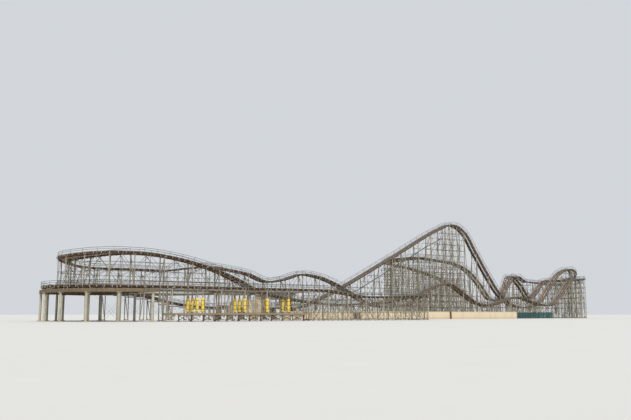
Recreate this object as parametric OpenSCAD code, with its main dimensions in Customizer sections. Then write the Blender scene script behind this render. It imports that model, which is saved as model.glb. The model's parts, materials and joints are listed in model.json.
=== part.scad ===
// Wooden-track roller coaster, a 1:10 scale model. Millimetres, +Z up.
// +X runs along the ride towards the far turn, +Y towards the back. The floor is at z = 0.
// A station row is [x, y, z, heading, bank], z being the underside of the track deck there.

/* [Layout] */
// Place across of the lift and station lane
lift_y = 0; // [-100:10:100]
// Place across of the back lane
back_y = 2200; // [2000:10:2400]
// Place across of the second outward lane
second_y = 800; // [760:10:900]
// Place across of the inward hill lane
hill_y = -800; // [-900:10:-760]
// Place across of the upper fan lane
fan_y = -3000; // [-3100:10:-2900]
// Place across of the inner dip lane
dip_y = -2000; // [-2100:10:-1950]
// Place across of the front brake lane
front_y = -3800; // [-3900:10:-3700]
// Height of the lift crest
crest_z = 3320; // [3200:10:3450]
// Height of the station track
station_z = 340; // [320:5:380]
// Level of the brake run and its end turn
brake_z = 735; // [725:5:790]
// Top of the raised frame that carries the end turns
turn_floor_z = 690; // [660:5:695]

/* [Trestle] */
// Wanted length of a straight bay
bay = 610; // [550:10:700]
// Wanted length of a bay in a turn
turn_bay = 530; // [480:10:600]
// Side of a post
post = 20; // [14:1:24]
// Distance of a post's middle in from the edge of the deck
post_in = 30; // [25:1:40]
// Thickness of the side bracing
brace = 10; // [6:1:14]
// Width of a brace or ledger as seen from its side
bar = 14; // [10:1:18]
// Height of one tier of bracing
tier = 800; // [700:10:900]
// Track height from which a bent gets raking legs
rake_from = 1500; // [1480:10:1600]
// Spread of a raking leg for each unit of height
rake = 0.09; // [0.06:0.01:0.1]
// Depth of the stringer under the deck
stringer = 26; // [20:1:32]

/* [Track] */
// Distance between the rail middles
gauge = 110; // [100:1:120]
// Width of a rail stack
rail_w = 12; // [8:1:16]
// Height of a rail stack
rail_h = 18; // [12:1:22]
// Width of the deck over both walkways
deck_w = 290; // [280:1:310]
// Thickness of the deck
deck_t = 12; // [8:1:16]
// Width of one walkway
walk_w = 62; // [50:1:70]
// Number of cross ties in a bay
ties = 3; // [2:1:5]
// Width of a cross tie
tie_w = 22; // [14:1:30]
// Height of the handrail above the deck
handrail_h = 105; // [90:1:120]
// Thickness of the handrail and its posts
handrail_t = 5; // [3:1:8]
// Steepest bank of the turns in degrees
bank = 16; // [8:1:20]
// Slight bank of the slow end turn
slow_bank = 3; // [0:1:4]

/* [Station] */
// Top of the station platforms
platform_z = 400; // [380:5:420]
// Width of one platform
platform_w = 260; // [220:10:300]
// Underside of the station roof
roof_z = 760; // [720:10:800]
// Depth of the roof's edge beam
roof_h = 40; // [30:1:60]
// Side of a roof post
roof_post = 28; // [20:1:36]
// Number of roof posts on a side
roof_posts = 5; // [4:1:8]
// Length of the operator's booth
booth_l = 320; // [240:10:400]
// Width of the operator's booth
booth_w = 150; // [120:10:180]

/* [Pier and screens] */
// Top of the pier deck
pier_z = 180; // [150:5:200]
// How far the pier deck stands out from the track deck on each side
pier_side = 115; // [90:5:130]
// Height of a yellow pad on a post
pad_h = 300; // [200:10:400]
// Thickness of a pad
pad_t = 12; // [8:1:16]
// Height of the screen wall and the fence
screen_h = 235; // [180:5:250]

/* [Car] */
// Length of the car's tub
car_l = 210; // [190:5:230]
// Width of the car's tub
car_w = 122; // [112:2:130]
// Height of the tub's sides at the seat backs
tub_h = 62; // [54:1:70]
// Thickness of the tub's walls
tub_t = 5; // [3:1:6]
// Radius of a running wheel
wheel_r = 15; // [12:1:18]
// Width of a running wheel
wheel_w = 10; // [8:1:12]

/* [Hidden] */
// Model millimetres in one metre of the real ride
m = 100;
// Middle of the ride's outline, which is the part's origin
middle_x = -600;
middle_y = -775;
// Clear gap between pieces that seat on each other, and round a pin or axle
gap = 0.3;
pin_gap = 0.1;
// Distance of a post from the middle of the track
post_y = deck_w / 2 - post_in;
// Extra room over a cap where the decks that meet over it are twisted
turn_clear = 1.3;
// Half length of a bent's cap, which also carries the handrail posts
cap_l = deck_w / 2 + 3 * handrail_t;
// Depth of the chain's return trough below the track, and the height from which it hangs
chain_drop = 380;
chain_from = 800;
trough_w = 40;
// Lift rack
rack_end = 22 * m;
rack_w = 12;
rack_h = 12;
rack_teeth = 8;
// Station
station_x0 = -65 * m;
station_x1 = -43 * m;
platform_in = deck_w / 2 + 15;
platform_out = platform_in + platform_w;
platform_bays = 6;
slab_t = 30;
wall_t = 20;
// Panels at the front of the station, columns: x, length, top
station_panels = [[-60 * m, 250, 560], [-57.3 * m, 230, roof_z - gap]];
// Raised frame of the end turns: its straight edge, its columns and girders
frame_x = -103.2 * m;
frame_t = 30;
frame_lip = 25;
girder = 24;
girder_h = 40;
column_r = 28;
// Pier
pier_x0 = -100.2 * m;
pier_x1 = -64 * m;
pier_w = deck_w + 2 * pier_side;
pile_r = 15;
pile_step = 300;
steps_w = 100;
// Screen wall and the fence that follows it
screen_x0 = -51 * m;
screen_x1 = 60 * m;
fence_x1 = 71.5 * m;
fence_step = 160;
// Car: its place, its running gear, and the pitch and form of its two benches
car_x = -56 * m;
axle_r = 3;
axle_x = 62;
floor_z = 22;
pin_r = 4;
bench = (car_l - 18) / 2;
seat_z = 26;
lap_x = 0.75 * bench;
lap_z = tub_h / 2 - 1;

// Crest in the second outward lane, where a section of track begins
second_crest_x = 69 * m;

// Height tables of the straight lanes, columns: x, z
lift_table = [
    [-103 * m, 7.5 * m], [-90 * m, 6.4 * m], [-80 * m, 4.4 * m], [-70 * m, station_z],
    [-42 * m, station_z], [-38 * m, 3.7 * m], [-32 * m, 5.9 * m], [-22 * m, 10.2 * m],
    [0, 20.9 * m], [22 * m, 31.5 * m], [27.5 * m, crest_z], [33 * m, 31.2 * m],
    [37 * m, 26.6 * m], [42.4 * m, 19.8 * m], [46.8 * m, 14.4 * m], [50.5 * m, 10.2 * m],
    [54 * m, 7.6 * m], [60 * m, 4.7 * m], [66 * m, 4.1 * m], [72 * m, 4.6 * m],
    [78 * m, 7.4 * m], [85 * m, 14.2 * m], [91 * m, 18.4 * m], [96.2 * m, 19.7 * m]];
back_table = [
    [19.5 * m, 19.6 * m], [26 * m, 18.9 * m], [34 * m, 17.5 * m], [46 * m, 14.4 * m],
    [60 * m, 8 * m], [70 * m, 4.5 * m], [75 * m, 4.9 * m], [82 * m, 11.2 * m],
    [90.3 * m, 17.5 * m], [96.2 * m, 15.4 * m]];
second_table = [
    [19.5 * m, 21.4 * m], [28 * m, 20.9 * m], [38 * m, 19.8 * m], [45 * m, 17.1 * m],
    [51 * m, 12.2 * m], [57 * m, 6.9 * m], [61 * m, 4.9 * m], [64 * m, 9.6 * m],
    [second_crest_x, 16.6 * m], [74 * m, 13.4 * m], [80 * m, 7.8 * m], [85 * m, 10.6 * m],
    [91 * m, 15 * m]];
hill_table = [
    [-106 * m, 12.6 * m], [-85 * m, 12.6 * m], [-77 * m, 14 * m], [-64.5 * m, 12.9 * m],
    [-55 * m, 10.4 * m], [-43 * m, 13 * m], [-36 * m, 11.8 * m], [-29 * m, 9.3 * m],
    [-20 * m, 5.2 * m], [-12 * m, 3.8 * m], [-3.4 * m, 4.2 * m], [6 * m, 9 * m],
    [16.6 * m, 11.6 * m], [26 * m, 7.4 * m], [33 * m, 4.6 * m], [42 * m, 5.4 * m],
    [52 * m, 7.8 * m], [62 * m, 5.8 * m], [71 * m, 4.7 * m], [78 * m, 8.4 * m],
    [85 * m, 14.2 * m], [91 * m, 15.2 * m]];
dip_table = [
    [-106 * m, 14.9 * m], [-97 * m, 14.4 * m], [-84 * m, 11.5 * m], [-70 * m, 7 * m],
    [-52 * m, 5 * m], [-40 * m, 4.2 * m], [-28 * m, 4.5 * m]];
brake_table = [
    [-103 * m, brake_z], [-60 * m, brake_z], [-44 * m, 5.9 * m], [-28 * m, 6.3 * m]];

// Monotone cubic curve through a height table
function knot(t, x, i = 0) = i >= len(t) - 2 || x < t[i + 1][0] ? i : knot(t, x, i + 1);
function rise(t, i) = (t[i + 1][1] - t[i][1]) / (t[i + 1][0] - t[i][0]);
function lean(t, i) =
    i == 0 ? rise(t, 0) :
    i == len(t) - 1 ? rise(t, i - 1) :
    rise(t, i - 1) * rise(t, i) <= 0 ? 0 :
    2 / (1 / rise(t, i - 1) + 1 / rise(t, i));
function height(t, x) =
    let (i = knot(t, x), w = t[i + 1][0] - t[i][0], k = (x - t[i][0]) / w)
    t[i][1] * (1 + 2 * k) * pow(1 - k, 2) + t[i + 1][1] * k * k * (3 - 2 * k)
    + w * (lean(t, i) * k * pow(1 - k, 2) - lean(t, i + 1) * k * k * (1 - k));

function ease(k) = k * k * (3 - 2 * k);
function ease_slope(k) = 6 * k * (1 - k);

// Stations of a straight lane from x0 to x1, which may shift across from y0 to y1
function lane(t, x0, x1, y0, y1, step = bay) =
    let (n = max(1, round(abs(x1 - x0) / step)))
    [for (i = [0:n])
        let (k = i / n, x = x0 + (x1 - x0) * k)
        [x, y0 + (y1 - y0) * ease(k), height(t, x),
            atan2((y1 - y0) * ease_slope(k), x1 - x0), 0]];

// Stations of a turn about [x, y], z = [at its start, middle, end]
function turn(centre, r, a0, a1, z, bank = bank) =
    let (n = max(5, round(r * abs(a1 - a0) * PI / 180 / turn_bay)), side = sign(a1 - a0))
    [for (i = [0:n])
        let (k = i / n, a = a0 + (a1 - a0) * k)
        [centre[0] + r * cos(a), centre[1] + r * sin(a),
            k < 0.5 ? z[0] + (z[1] - z[0]) * ease(2 * k) : z[1] + (z[2] - z[1]) * ease(2 * k - 1),
            a + 90 * side, -side * bank * min(1, 1.6 * sin(180 * k))]];

// Ends of the lanes along the ride
far_x = 96.2 * m;
second_end_x = 91 * m;
mid_x = 19.5 * m;
crest_x0 = 22 * m;
crest_x1 = 33 * m;
fan_x = -105 * m;
dip_end_x = -28 * m;
end_x = -99.8 * m;
end_r = (lift_y - front_y) / 2;

// The stretches of the ride in order, each a list of sections that follow one another
lift_run = [
    lane(lift_table, -38 * m, crest_x0, lift_y, lift_y),
    lane(lift_table, crest_x0, crest_x1, lift_y, lift_y, bay * 0.6)];
drop_run = [
    lane(lift_table, crest_x1, far_x, lift_y, lift_y),
    turn([far_x, (lift_y + back_y) / 2], (back_y - lift_y) / 2, -90, 90,
        [height(lift_table, far_x), 14 * m, height(back_table, far_x)])];
back_run = [
    lane(back_table, far_x, mid_x, back_y, back_y),
    turn([mid_x, (back_y + second_y) / 2], (back_y - second_y) / 2, 90, 270,
        [height(back_table, mid_x), 20.6 * m, height(second_table, mid_x)])];
second_run = [
    lane(second_table, mid_x, second_crest_x, second_y, second_y),
    lane(second_table, second_crest_x, second_end_x, second_y, second_y),
    turn([second_end_x, (second_y + hill_y) / 2], (second_y - hill_y) / 2, 90, -90,
        [height(second_table, second_end_x), 15.4 * m, height(hill_table, second_end_x)])];
hill_run = [lane(hill_table, second_end_x, -20 * m, hill_y, hill_y)];
fan_run = [
    lane(hill_table, -20 * m, fan_x, hill_y, hill_y),
    turn([fan_x, (hill_y + fan_y) / 2], (hill_y - fan_y) / 2, 90, 270,
        [height(hill_table, fan_x), 13.9 * m, height(dip_table, fan_x)]),
    lane(dip_table, fan_x, -84 * m, fan_y, fan_y),
    lane(dip_table, -84 * m, -50 * m, fan_y, dip_y),
    lane(dip_table, -50 * m, dip_end_x, dip_y, dip_y)];
brake_run = [
    turn([dip_end_x, (dip_y + front_y) / 2], (dip_y - front_y) / 2, 90, -90,
        [height(dip_table, dip_end_x), 6.5 * m, height(brake_table, dip_end_x)]),
    lane(brake_table, dip_end_x, end_x, front_y, front_y),
    turn([end_x, (lift_y + front_y) / 2], end_r, 270, 90,
        [height(brake_table, end_x), 7.5 * m, height(lift_table, end_x)], slow_bank)];
station_run = [lane(lift_table, end_x, -38 * m, lift_y, lift_y)];
runs = [lift_run, drop_run, back_run, second_run, hill_run, fan_run, brake_run, station_run];

// Numbers of the stretches in the list of runs
LIFT = 0; DROP = 1; BACK = 2; SECOND = 3; HILL = 4; FAN = 5; BRAKE = 6; STATION = 7;

// The closed circuit, one row a station, and the number of a run's first station in it
function stations(run) = [for (section = run, i = [0:len(section) - 2]) section[i]];
circuit = [for (run = runs) each stations(run)];
function first(run) = run == 0 ? 0 : first(run - 1) + len(stations(runs[run - 1]));
function at(i) = circuit[(i + len(circuit)) % len(circuit)];

// Values of the bay between stations p and q: its turn is what comes before and what comes after its middle
function span(p, q) = norm([q[0] - p[0], q[1] - p[1]]);
function slope(p, q) = atan2(q[2] - p[2], span(p, q));
function heading(p, q) = atan2(q[1] - p[1], q[0] - p[0]);
function wrap(a) = a - 360 * round(a / 360);
function lead(p, q) = wrap(heading(p, q) - p[3]);
function trail(p, q) = wrap(q[3] - heading(p, q));
function tilt(p, q) = (p[4] + q[4]) / 2;

// How far a bay reaches from its middle at a place across the track, towards the end where the track
// turns by a, for a piece of the given rise that clears its neighbour where the track bends upwards
function reach(p, q, a, y, up) =
    norm([span(p, q), q[2] - p[2]]) / 2 - y * tan(a) - gap - (abs(a) > 0.5 ? 1.5 : 0) - up * tan($bend / 2);

// The same for an upright panel of thickness t, measured level
function upright_reach(p, q, a, y, t) = span(p, q) / 2 - y * sin(a) - t / 2 * tan(abs(a));

// Largest change of slope at either end of bay i
function bend(i) = max([8, for (k = [i, i + 1])
    abs(slope(at(k), at(k + 1)) - slope(at(k - 1), at(k)))]);

// Track heights in the middle of a bay, at a plan offset from that middle
function under(p, q, dx, dy) =
    (p[2] + q[2]) / 2 + dx * tan(slope(p, q)) + dy * tan(tilt(p, q)) / cos(slope(p, q));

// Height of what carries the bent of a station: the raised frame, the pier deck or the floor
function ground(p) =
    p[0] < frame_x ? turn_floor_z :
    p[0] > pier_x0 && p[0] < pier_x1 && abs(p[1] - front_y) < 1 ? pier_z : 0;

// Levels of the ledgers between what carries the trestle and the given height
function levels(base, top) =
    [for (k = [0:1:floor((top - base - tier / 4) / tier)]) base + (k == 0 ? bar : k * tier)];

// How much a deck that meets station i leans more or less than the bent's cap, for each unit across
function lean_at(p, q, a, end) =
    cos(a) * tan(tilt(p, q)) / cos(slope(p, q)) - end * sin(a) * tan(slope(p, q));
function off_lean(i) =
    let (o = at(i - 1), p = at(i), q = at(i + 1))
    max(abs(lean_at(o, p, trail(o, p), 1) - tan(p[4])), abs(lean_at(p, q, lead(p, q), -1) - tan(p[4])));

// Top of the cap at the middle of the track, low enough to clear both decks that meet over it
function cap_top(i) = at(i)[2] - gap - deck_w / 2 * off_lean(i) - (off_lean(i) > 0.001 ? turn_clear : 0)
    - post / 2 * tan(max(abs(slope(at(i - 1), at(i))), abs(slope(at(i), at(i + 1)))));

module in_bay(p, q)
    translate([(p[0] + q[0]) / 2, (p[1] + q[1]) / 2, (p[2] + q[2]) / 2])
        rotate([tilt(p, q), -slope(p, q), heading(p, q)]) children();

module placed() translate([-middle_x, -middle_y, 0]) children();

module each_bay(run)
    for (i = [first(run):first(run + 1) - 1]) {
        $i = i;
        $bend = bend(i);
        $p = at(i);
        $q = at(i + 1);
        children();
    }

// The bay at the foot of the far turn stays open, because the second outward lane passes under it
function passes(p) = abs(p[0] - far_x) < 1 && p[1] < lift_y + 1;

// One bar from a to b in the drawing plane, its width measured upright
module strut(a, b, w)
    polygon([[a[0], a[1]], [b[0], b[1]], [b[0], b[1] + w], [a[0], a[1] + w]]);

// Side bracing of a bay: stringer, ledgers and one diagonal a tier
module side_panel(p, q, s, i) {
    a = lead(p, q);
    b = trail(p, q);
    function seat(a) = post / 2 / cos(a) + gap;
    y = s * post_y * (cos(a) + cos(b)) / 2;
    drop = gap + brace / 2 * tan(abs(tilt(p, q)));
    xa = seat(a) - upright_reach(p, q, a, s * post_y, brace);
    xb = upright_reach(p, q, b, s * post_y, brace) - seat(b);
    za = under(p, q, xa, y) - drop;
    zb = under(p, q, xb, y) - drop;
    rows = passes(p) ? [] : levels(max(ground(p), ground(q)), min(za, zb) - stringer);
    translate([(p[0] + q[0]) / 2, (p[1] + q[1]) / 2, 0])
        rotate([0, 0, heading(p, q)])
            translate([0, y + brace / 2, 0]) rotate([90, 0, 0]) linear_extrude(brace) {
                polygon([[xa, za - stringer], [xb, zb - stringer], [xb, zb], [xa, za]]);
                for (k = [0:1:len(rows) - 1]) {
                    rising = (i + k) % 2 == 0;
                    top = k == len(rows) - 1 ? (rising ? zb : za) - stringer - bar / 2 : rows[k + 1];
                    strut([rising ? xa : xb, rows[k]], [rising ? xb : xa, top], bar * 1.3);
                    if (k > 0)
                        strut([xa, rows[k]], [xb, rows[k]], bar);
                }
            }
}

// Cross frame under station i: posts, cap, ledgers, diagonals and raking legs
module bent(i, carries_chain) {
    p = at(i);
    base = ground(p);
    top = cap_top(i);
    lift = tan(p[4]);
    rows = levels(base, top);
    raked = p[2] > rake_from && p[4] == 0;
    foot = post_y + rake * top;
    function half(z) = raked && z < 0.86 * top ? foot + (post_y - foot) * z / (0.9 * top) : post_y;
    translate([p[0], p[1], 0]) rotate([90, 0, p[3] + 90]) translate([0, 0, -post / 2])
        linear_extrude(post) {
            strut([-cap_l, top - post - cap_l * lift], [cap_l, top - post + cap_l * lift], post);
            for (s = [-1, 1]) {
                translate([s * post_y - post / 2, base])
                    square([post, top - base - post / 2 + s * post_y * lift]);
                if (raked)
                    polygon([[s * foot - bar, 0], [s * foot + bar, 0],
                        [s * post_y + bar / 2, 0.9 * top], [s * post_y - bar / 2, 0.9 * top]]);
            }
            for (k = [0:1:len(rows) - 1]) {
                side = k % 2 == 0 ? 1 : -1;
                next = k == len(rows) - 1 ? top - post - bar + side * post_y * lift : rows[k + 1];
                strut([-side * post_y, rows[k]], [side * post_y, next], bar * 1.2);
                strut([-half(rows[k]), rows[k]], [half(rows[k]), rows[k]], bar);
            }
            if (carries_chain && p[2] > chain_from)
                strut([-post_y, p[2] - chain_drop], [post_y, p[2] - chain_drop], bar);
        }
}

module bents(run)
    for (i = [first(run):first(run + 1) - 1]) bent(i, run == LIFT);

module panels(run)
    each_bay(run) for (s = [-1, 1]) side_panel($p, $q, s, $i);

// Deck of a bay: two walkways on cross ties
module deck(p, q) {
    a = lead(p, q);
    b = trail(p, q);
    in_bay(p, q) linear_extrude(deck_t) {
        for (s = [-1, 1]) {
            out = s * deck_w / 2;
            in = s * (deck_w / 2 - walk_w);
            polygon([[-reach(p, q, a, out, deck_t), out], [reach(p, q, b, out, deck_t), out],
                [reach(p, q, b, in, deck_t), in], [-reach(p, q, a, in, deck_t), in]]);
        }
        l = reach(p, q, 0, 0, deck_t);
        for (i = [0:ties - 1])
            translate([l * (2 * i + 1 - ties) / ties, 0])
                square([tie_w, deck_w - walk_w], center = true);
    }
}

module decks(run) each_bay(run) deck($p, $q);

module rail_pair(p, q)
    in_bay(p, q) for (s = [-1, 1]) {
        y = s * gauge / 2;
        a = lead(p, q);
        b = trail(p, q);
        in = rail_w / 2 + (deck_t + rail_h) * sin(abs(tilt(p, q)));
        xa = -reach(p, q, a, y + sign(a) * in, deck_t + rail_h);
        xb = reach(p, q, b, y + sign(b) * in, deck_t + rail_h);
        translate([xa, y - rail_w / 2, deck_t]) cube([xb - xa, rail_w, rail_h]);
    }

module rails(run) each_bay(run) rail_pair($p, $q);

// Handrails of a bay: on each side a bar over its own post, whose foot is on the end of the cap
module handrail_pair(p, q, cap_z)
    for (s = [-1, 1]) {
        out = deck_w / 2 + 2 * handrail_t;
        a = lead(p, q);
        b = trail(p, q);
        xa = gap - upright_reach(p, q, a, s * out, handrail_t);
        xb = upright_reach(p, q, b, s * out, handrail_t) - gap;
        foot = cap_z + s * out * tan(p[4]) + gap + handrail_t * abs(tan(p[4]));
        za = p[2] + s * out * tan(p[4]) + handrail_h;
        zb = q[2] + s * out * tan(q[4]) + handrail_h;
        w = post / 2 - gap;
        zc = za + (zb - za) * w / (xb - xa);
        translate([(p[0] + q[0]) / 2, (p[1] + q[1]) / 2, 0]) rotate([0, 0, heading(p, q)])
            translate([0, s * out * (cos(a) + cos(b)) / 2 + handrail_t / 2, 0])
                rotate([90, 0, 0]) linear_extrude(handrail_t)
                    polygon([[xa, za], [xb, zb], [xb, zb - 2 * handrail_t],
                        [xa + w, zc - 2 * handrail_t], [xa + w, foot], [xa, foot]]);
    }

module handrails(run)
    each_bay(run) if (!($q[0] > station_x0 && $p[0] < station_x1 && abs($p[1] - lift_y) < 1))
        handrail_pair($p, $q, cap_top($i));

// Toothed rack between the rails that holds the car on the lift
module lift_rack()
    color("dimgray") placed() each_bay(LIFT)
        if ($p[0] < rack_end)
            in_bay($p, $q) {
                l = reach($p, $q, 0, 0, deck_t + rack_h);
                step = 2 * l / rack_teeth;
                translate([-l, rack_w / 2, deck_t]) rotate([90, 0, 0]) linear_extrude(rack_w)
                    polygon([[0, 0], [2 * l, 0],
                        for (k = [rack_teeth:-1:1]) each [[k * step, rack_h], [(k - 1) * step, rack_h / 2]]]);
            }

// Return trough of the lift chain, hung between the bents below the track
module chain_return()
    color("dimgray") placed() each_bay(LIFT)
        if ($p[2] > chain_from && $p[0] < rack_end) {
            h = span($p, $q) / 2 - post / 2;
            d = (h + post / 2) * tan(slope($p, $q)) - post / 2 * tan(slope($p, $q));
            z = ($p[2] + $q[2]) / 2 - chain_drop;
            translate([($p[0] + $q[0]) / 2, $p[1] + trough_w / 2, z]) rotate([90, 0, 0])
                linear_extrude(trough_w)
                    polygon([[-h, -d], [h, d], [h, d + bar], [-h, -d + bar]]);
        }

// Station platforms on both sides of the track: a slab on cross walls, its edge close to the deck
module platform()
    color("tan") placed() for (s = [-1, 1]) translate([station_x0, lift_y, 0]) {
        edge = deck_w / 2 + gap;
        translate([0, s > 0 ? edge : -platform_out, station_z])
            cube([station_x1 - station_x0, platform_out - edge, platform_z - station_z]);
        for (i = [0:platform_bays])
            translate([i * (station_x1 - station_x0 - wall_t) / platform_bays,
                s > 0 ? platform_in : -platform_out, 0])
                cube([wall_t, platform_w, station_z]);
    }

module station_posts() {
    inset = 1.5 * roof_post;
    color("tan") placed() for (s = [-1, 1], i = [0:roof_posts - 1])
        translate([station_x0 + inset + i * (station_x1 - station_x0 - 2 * inset) / (roof_posts - 1),
            lift_y + s * (platform_out - inset), (platform_z + roof_z) / 2])
            cube([roof_post, roof_post, roof_z - platform_z], center = true);
}

// Flat roof with a deep edge beam
module station_roof() {
    w = 2 * platform_out + roof_h;
    l = station_x1 - station_x0 + 2 * roof_h;
    color("whitesmoke") placed()
        translate([station_x0 - roof_h, lift_y - w / 2, roof_z]) difference() {
            cube([l, w, roof_h]);
            translate([wall_t, wall_t, roof_h / 2]) cube([l - 2 * wall_t, w - 2 * wall_t, roof_h]);
        }
}

// Operator's booth at the end of the front platform, open at its window band, and the tall tan
// panels that stand against the front of the station
module station_booth() {
    h = roof_z - platform_z;
    sill = 0.3 * h;
    color("burlywood") placed() {
        translate([station_x1 - 1.25 * booth_l, lift_y - platform_out + roof_post * 2.5, platform_z])
            difference() {
                cube([booth_l, booth_w, h]);
                translate([wall_t, wall_t, -1])
                    cube([booth_l - 2 * wall_t, booth_w - 2 * wall_t, h + 2]);
                translate([2 * wall_t, -1, sill]) cube([booth_l - 4 * wall_t, booth_w + 2, 0.45 * h]);
            }
        for (panel = station_panels)
            translate([panel[0], lift_y - platform_out - wall_t, 0]) cube([panel[1], wall_t, panel[2]]);
    }
}

// Outline of the raised frame of the end turns: a half disc, cut at its straight edge
module half_disc(r)
    intersection() {
        circle(r = r, $fn = 360);
        translate([-2 * r, -r]) square([2 * r + frame_x - end_x, 2 * r]);
    }

// Raised frame of the end turns: floor, rim girder and girders across, one quarter radius apart
frame_r = end_r + deck_w / 2 + frame_lip;
module at_frame(z) translate([end_x, (lift_y + front_y) / 2, z]) children();

module turn_frame()
    color("dimgray") placed() {
        at_frame(turn_floor_z - frame_t) linear_extrude(frame_t) half_disc(frame_r);
        at_frame(turn_floor_z - frame_t - girder_h) {
            linear_extrude(girder_h + 1) difference() {
                half_disc(frame_r);
                half_disc(frame_r - girder);
            }
            for (k = [-3:3]) {
                y = k * frame_r / 4;
                l = sqrt(pow(frame_r - girder, 2) - y * y);
                translate([-l, y - girder / 2, 0]) cube([l + frame_x - end_x, girder, girder_h + 1]);
            }
        }
    }

// Columns under the girders of the raised frame, round its rim and in two inner rows
module turn_columns() {
    rim = frame_r - column_r;
    spots = [
        for (a = [258:-19.5:102]) [rim * cos(a), rim * sin(a)],
        for (x = [-0.7, -0.2], k = [-2, 2]) [x * frame_r, k * frame_r / 4]];
    color("lightgray") placed() at_frame(0) for (spot = spots)
        translate(spot) cylinder(h = turn_floor_z - frame_t - girder_h - gap, r = column_r, $fn = 24);
}

// Raised pier deck under the front lane, on two rows of piles
module pier_deck()
    color("peru") placed() translate([pier_x0, front_y - pier_w / 2, pier_z - slab_t])
        cube([pier_x1 - pier_x0, pier_w, slab_t]);

module piles()
    color("whitesmoke") placed() for (s = [-1, 1], x = [pier_x0 + 4 * pile_r:pile_step:pier_x1])
        translate([x, front_y + s * (pier_w / 2 - 4 * pile_r), 0])
            cylinder(h = pier_z - slab_t, r = pile_r, $fn = 24);

// Yellow pads round the fronts of the posts on the pier
module post_pads()
    color("gold") placed() for (i = [first(BRAKE):first(STATION) - 1]) {
        p = at(i);
        if (ground(p) == pier_z)
            translate([p[0], p[1] - post_y - post / 2, pier_z + post]) linear_extrude(pad_h)
                difference() {
                    translate([-post / 2 - pad_t, -pad_t])
                        square([post + 2 * pad_t, pad_t + (post - brace) / 2 - 1]);
                    translate([-post / 2, 0]) square([post, post]);
                }
    }

// Low wall that screens the foot of the ride, fixed to the outer posts of the hill lane
module screen_wall()
    color("tan") placed() translate([screen_x0, hill_y - post_y - post / 2 - wall_t, 0])
        cube([screen_x1 - screen_x0, wall_t, screen_h]);

// Fence that follows the wall: a thin sheet on posts
module fence()
    color("teal") placed() translate([screen_x1 + gap, hill_y - post_y - post / 2 - wall_t, 0]) {
        l = fence_x1 - screen_x1 - gap;
        translate([0, brace, bar]) cube([l, brace / 2, screen_h - 2 * bar]);
        for (x = [0:fence_step:l]) translate([x, 0, 0]) cube([bar, wall_t, screen_h]);
    }

// Flight of steps up to the end of the pier deck
module pier_steps() {
    going = 30;
    n = floor(pier_z / going);
    color("silver") placed() translate([pier_x0, front_y - pier_w / 2, 0]) rotate([90, 0, 180])
        linear_extrude(steps_w) polygon([
            for (k = [0:n - 1]) each [[k * going, pier_z * (1 - k / n)], [(k + 1) * going, pier_z * (1 - k / n)]],
            [n * going, 0], [0, 0]]);
}

// The car stands on the station track; its frame runs fore and aft on two wheelsets
module at_car() translate([car_x, lift_y, station_z + deck_t + rail_h + wheel_r + gap]) children();

module wheelset(x)
    color("dimgray") placed() at_car() translate([x, 0, 0]) rotate([90, 0, 0]) {
        cylinder(h = gauge + wheel_w, r = axle_r, center = true, $fn = 24);
        for (s = [-1, 1]) {
            translate([0, 0, s * gauge / 2]) cylinder(h = wheel_w, r = wheel_r, center = true, $fn = 48);
            translate([0, 0, s * (gauge / 2 - rail_w / 2 - 2)])
                cylinder(h = 3, r = wheel_r + 4, center = true, $fn = 48);
        }
    }

// Frame of the car: floor plate, two side plates that hold the axles, and a drawbar with its eye
module car_chassis() {
    l = car_l - 30;
    plate = 4;
    color("dimgray") placed() at_car() difference() {
        union() {
            translate([0, 0, floor_z - plate / 2]) cube([l, 70, plate], center = true);
            for (s = [-1, 1])
                translate([0, s * 32, floor_z / 2 - plate]) cube([l, 6, floor_z + 6], center = true);
            translate([car_l / 2, 0, floor_z - plate / 2]) cube([70, 16, plate], center = true);
        }
        for (x = [-axle_x, axle_x])
            translate([x, 0, 0]) rotate([90, 0, 0])
                cylinder(h = gauge, r = axle_r + pin_gap, center = true, $fn = 24);
        translate([car_l / 2 + 25, 0, 0]) cylinder(h = gauge, r = pin_r, center = true, $fn = 24);
    }
}

// Tub with two open benches between its side walls, which are cut down beside each seat
module car_tub() {
    dip = 0.6 * tub_h;
    nose = 0.75 * tub_h;
    color("firebrick") placed() at_car() translate([-car_l / 2, 0, floor_z]) {
        for (s = [-1, 1])
            difference() {
                translate([0, s * (car_w / 2 - tub_t / 2) + tub_t / 2, 0]) rotate([90, 0, 0])
                    linear_extrude(tub_t) polygon([[0, 0], [car_l - 40, 0], [car_l, 16], [car_l - 14, nose],
                        for (b = [1, 0]) each
                            [[(b + 0.6) * bench, dip], [b * bench + 16, tub_h], [b * bench, tub_h - 4]]]);
                for (b = [0, 1])
                    translate([lap_x + b * bench, 0, lap_z]) rotate([90, 0, 0])
                        cylinder(h = 2 * car_w, r = axle_r + pin_gap, center = true, $fn = 24);
            }
        translate([0, car_w / 2 - tub_t, 0]) rotate([90, 0, 0]) linear_extrude(car_w - 2 * tub_t) {
            polygon([[0, 0], [car_l - 40, 0], [car_l, 16], [car_l - 14, nose],
                [car_l - 20, nose], [car_l - 22, 8], [0, 8]]);
            for (b = [0, 1]) translate([b * bench, 0])
                polygon([[0, 0], [0, tub_h - 4], [12, tub_h - 2], [20, seat_z - 2],
                    [0.67 * bench, seat_z], [0.67 * bench, 0]]);
        }
    }
}

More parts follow.
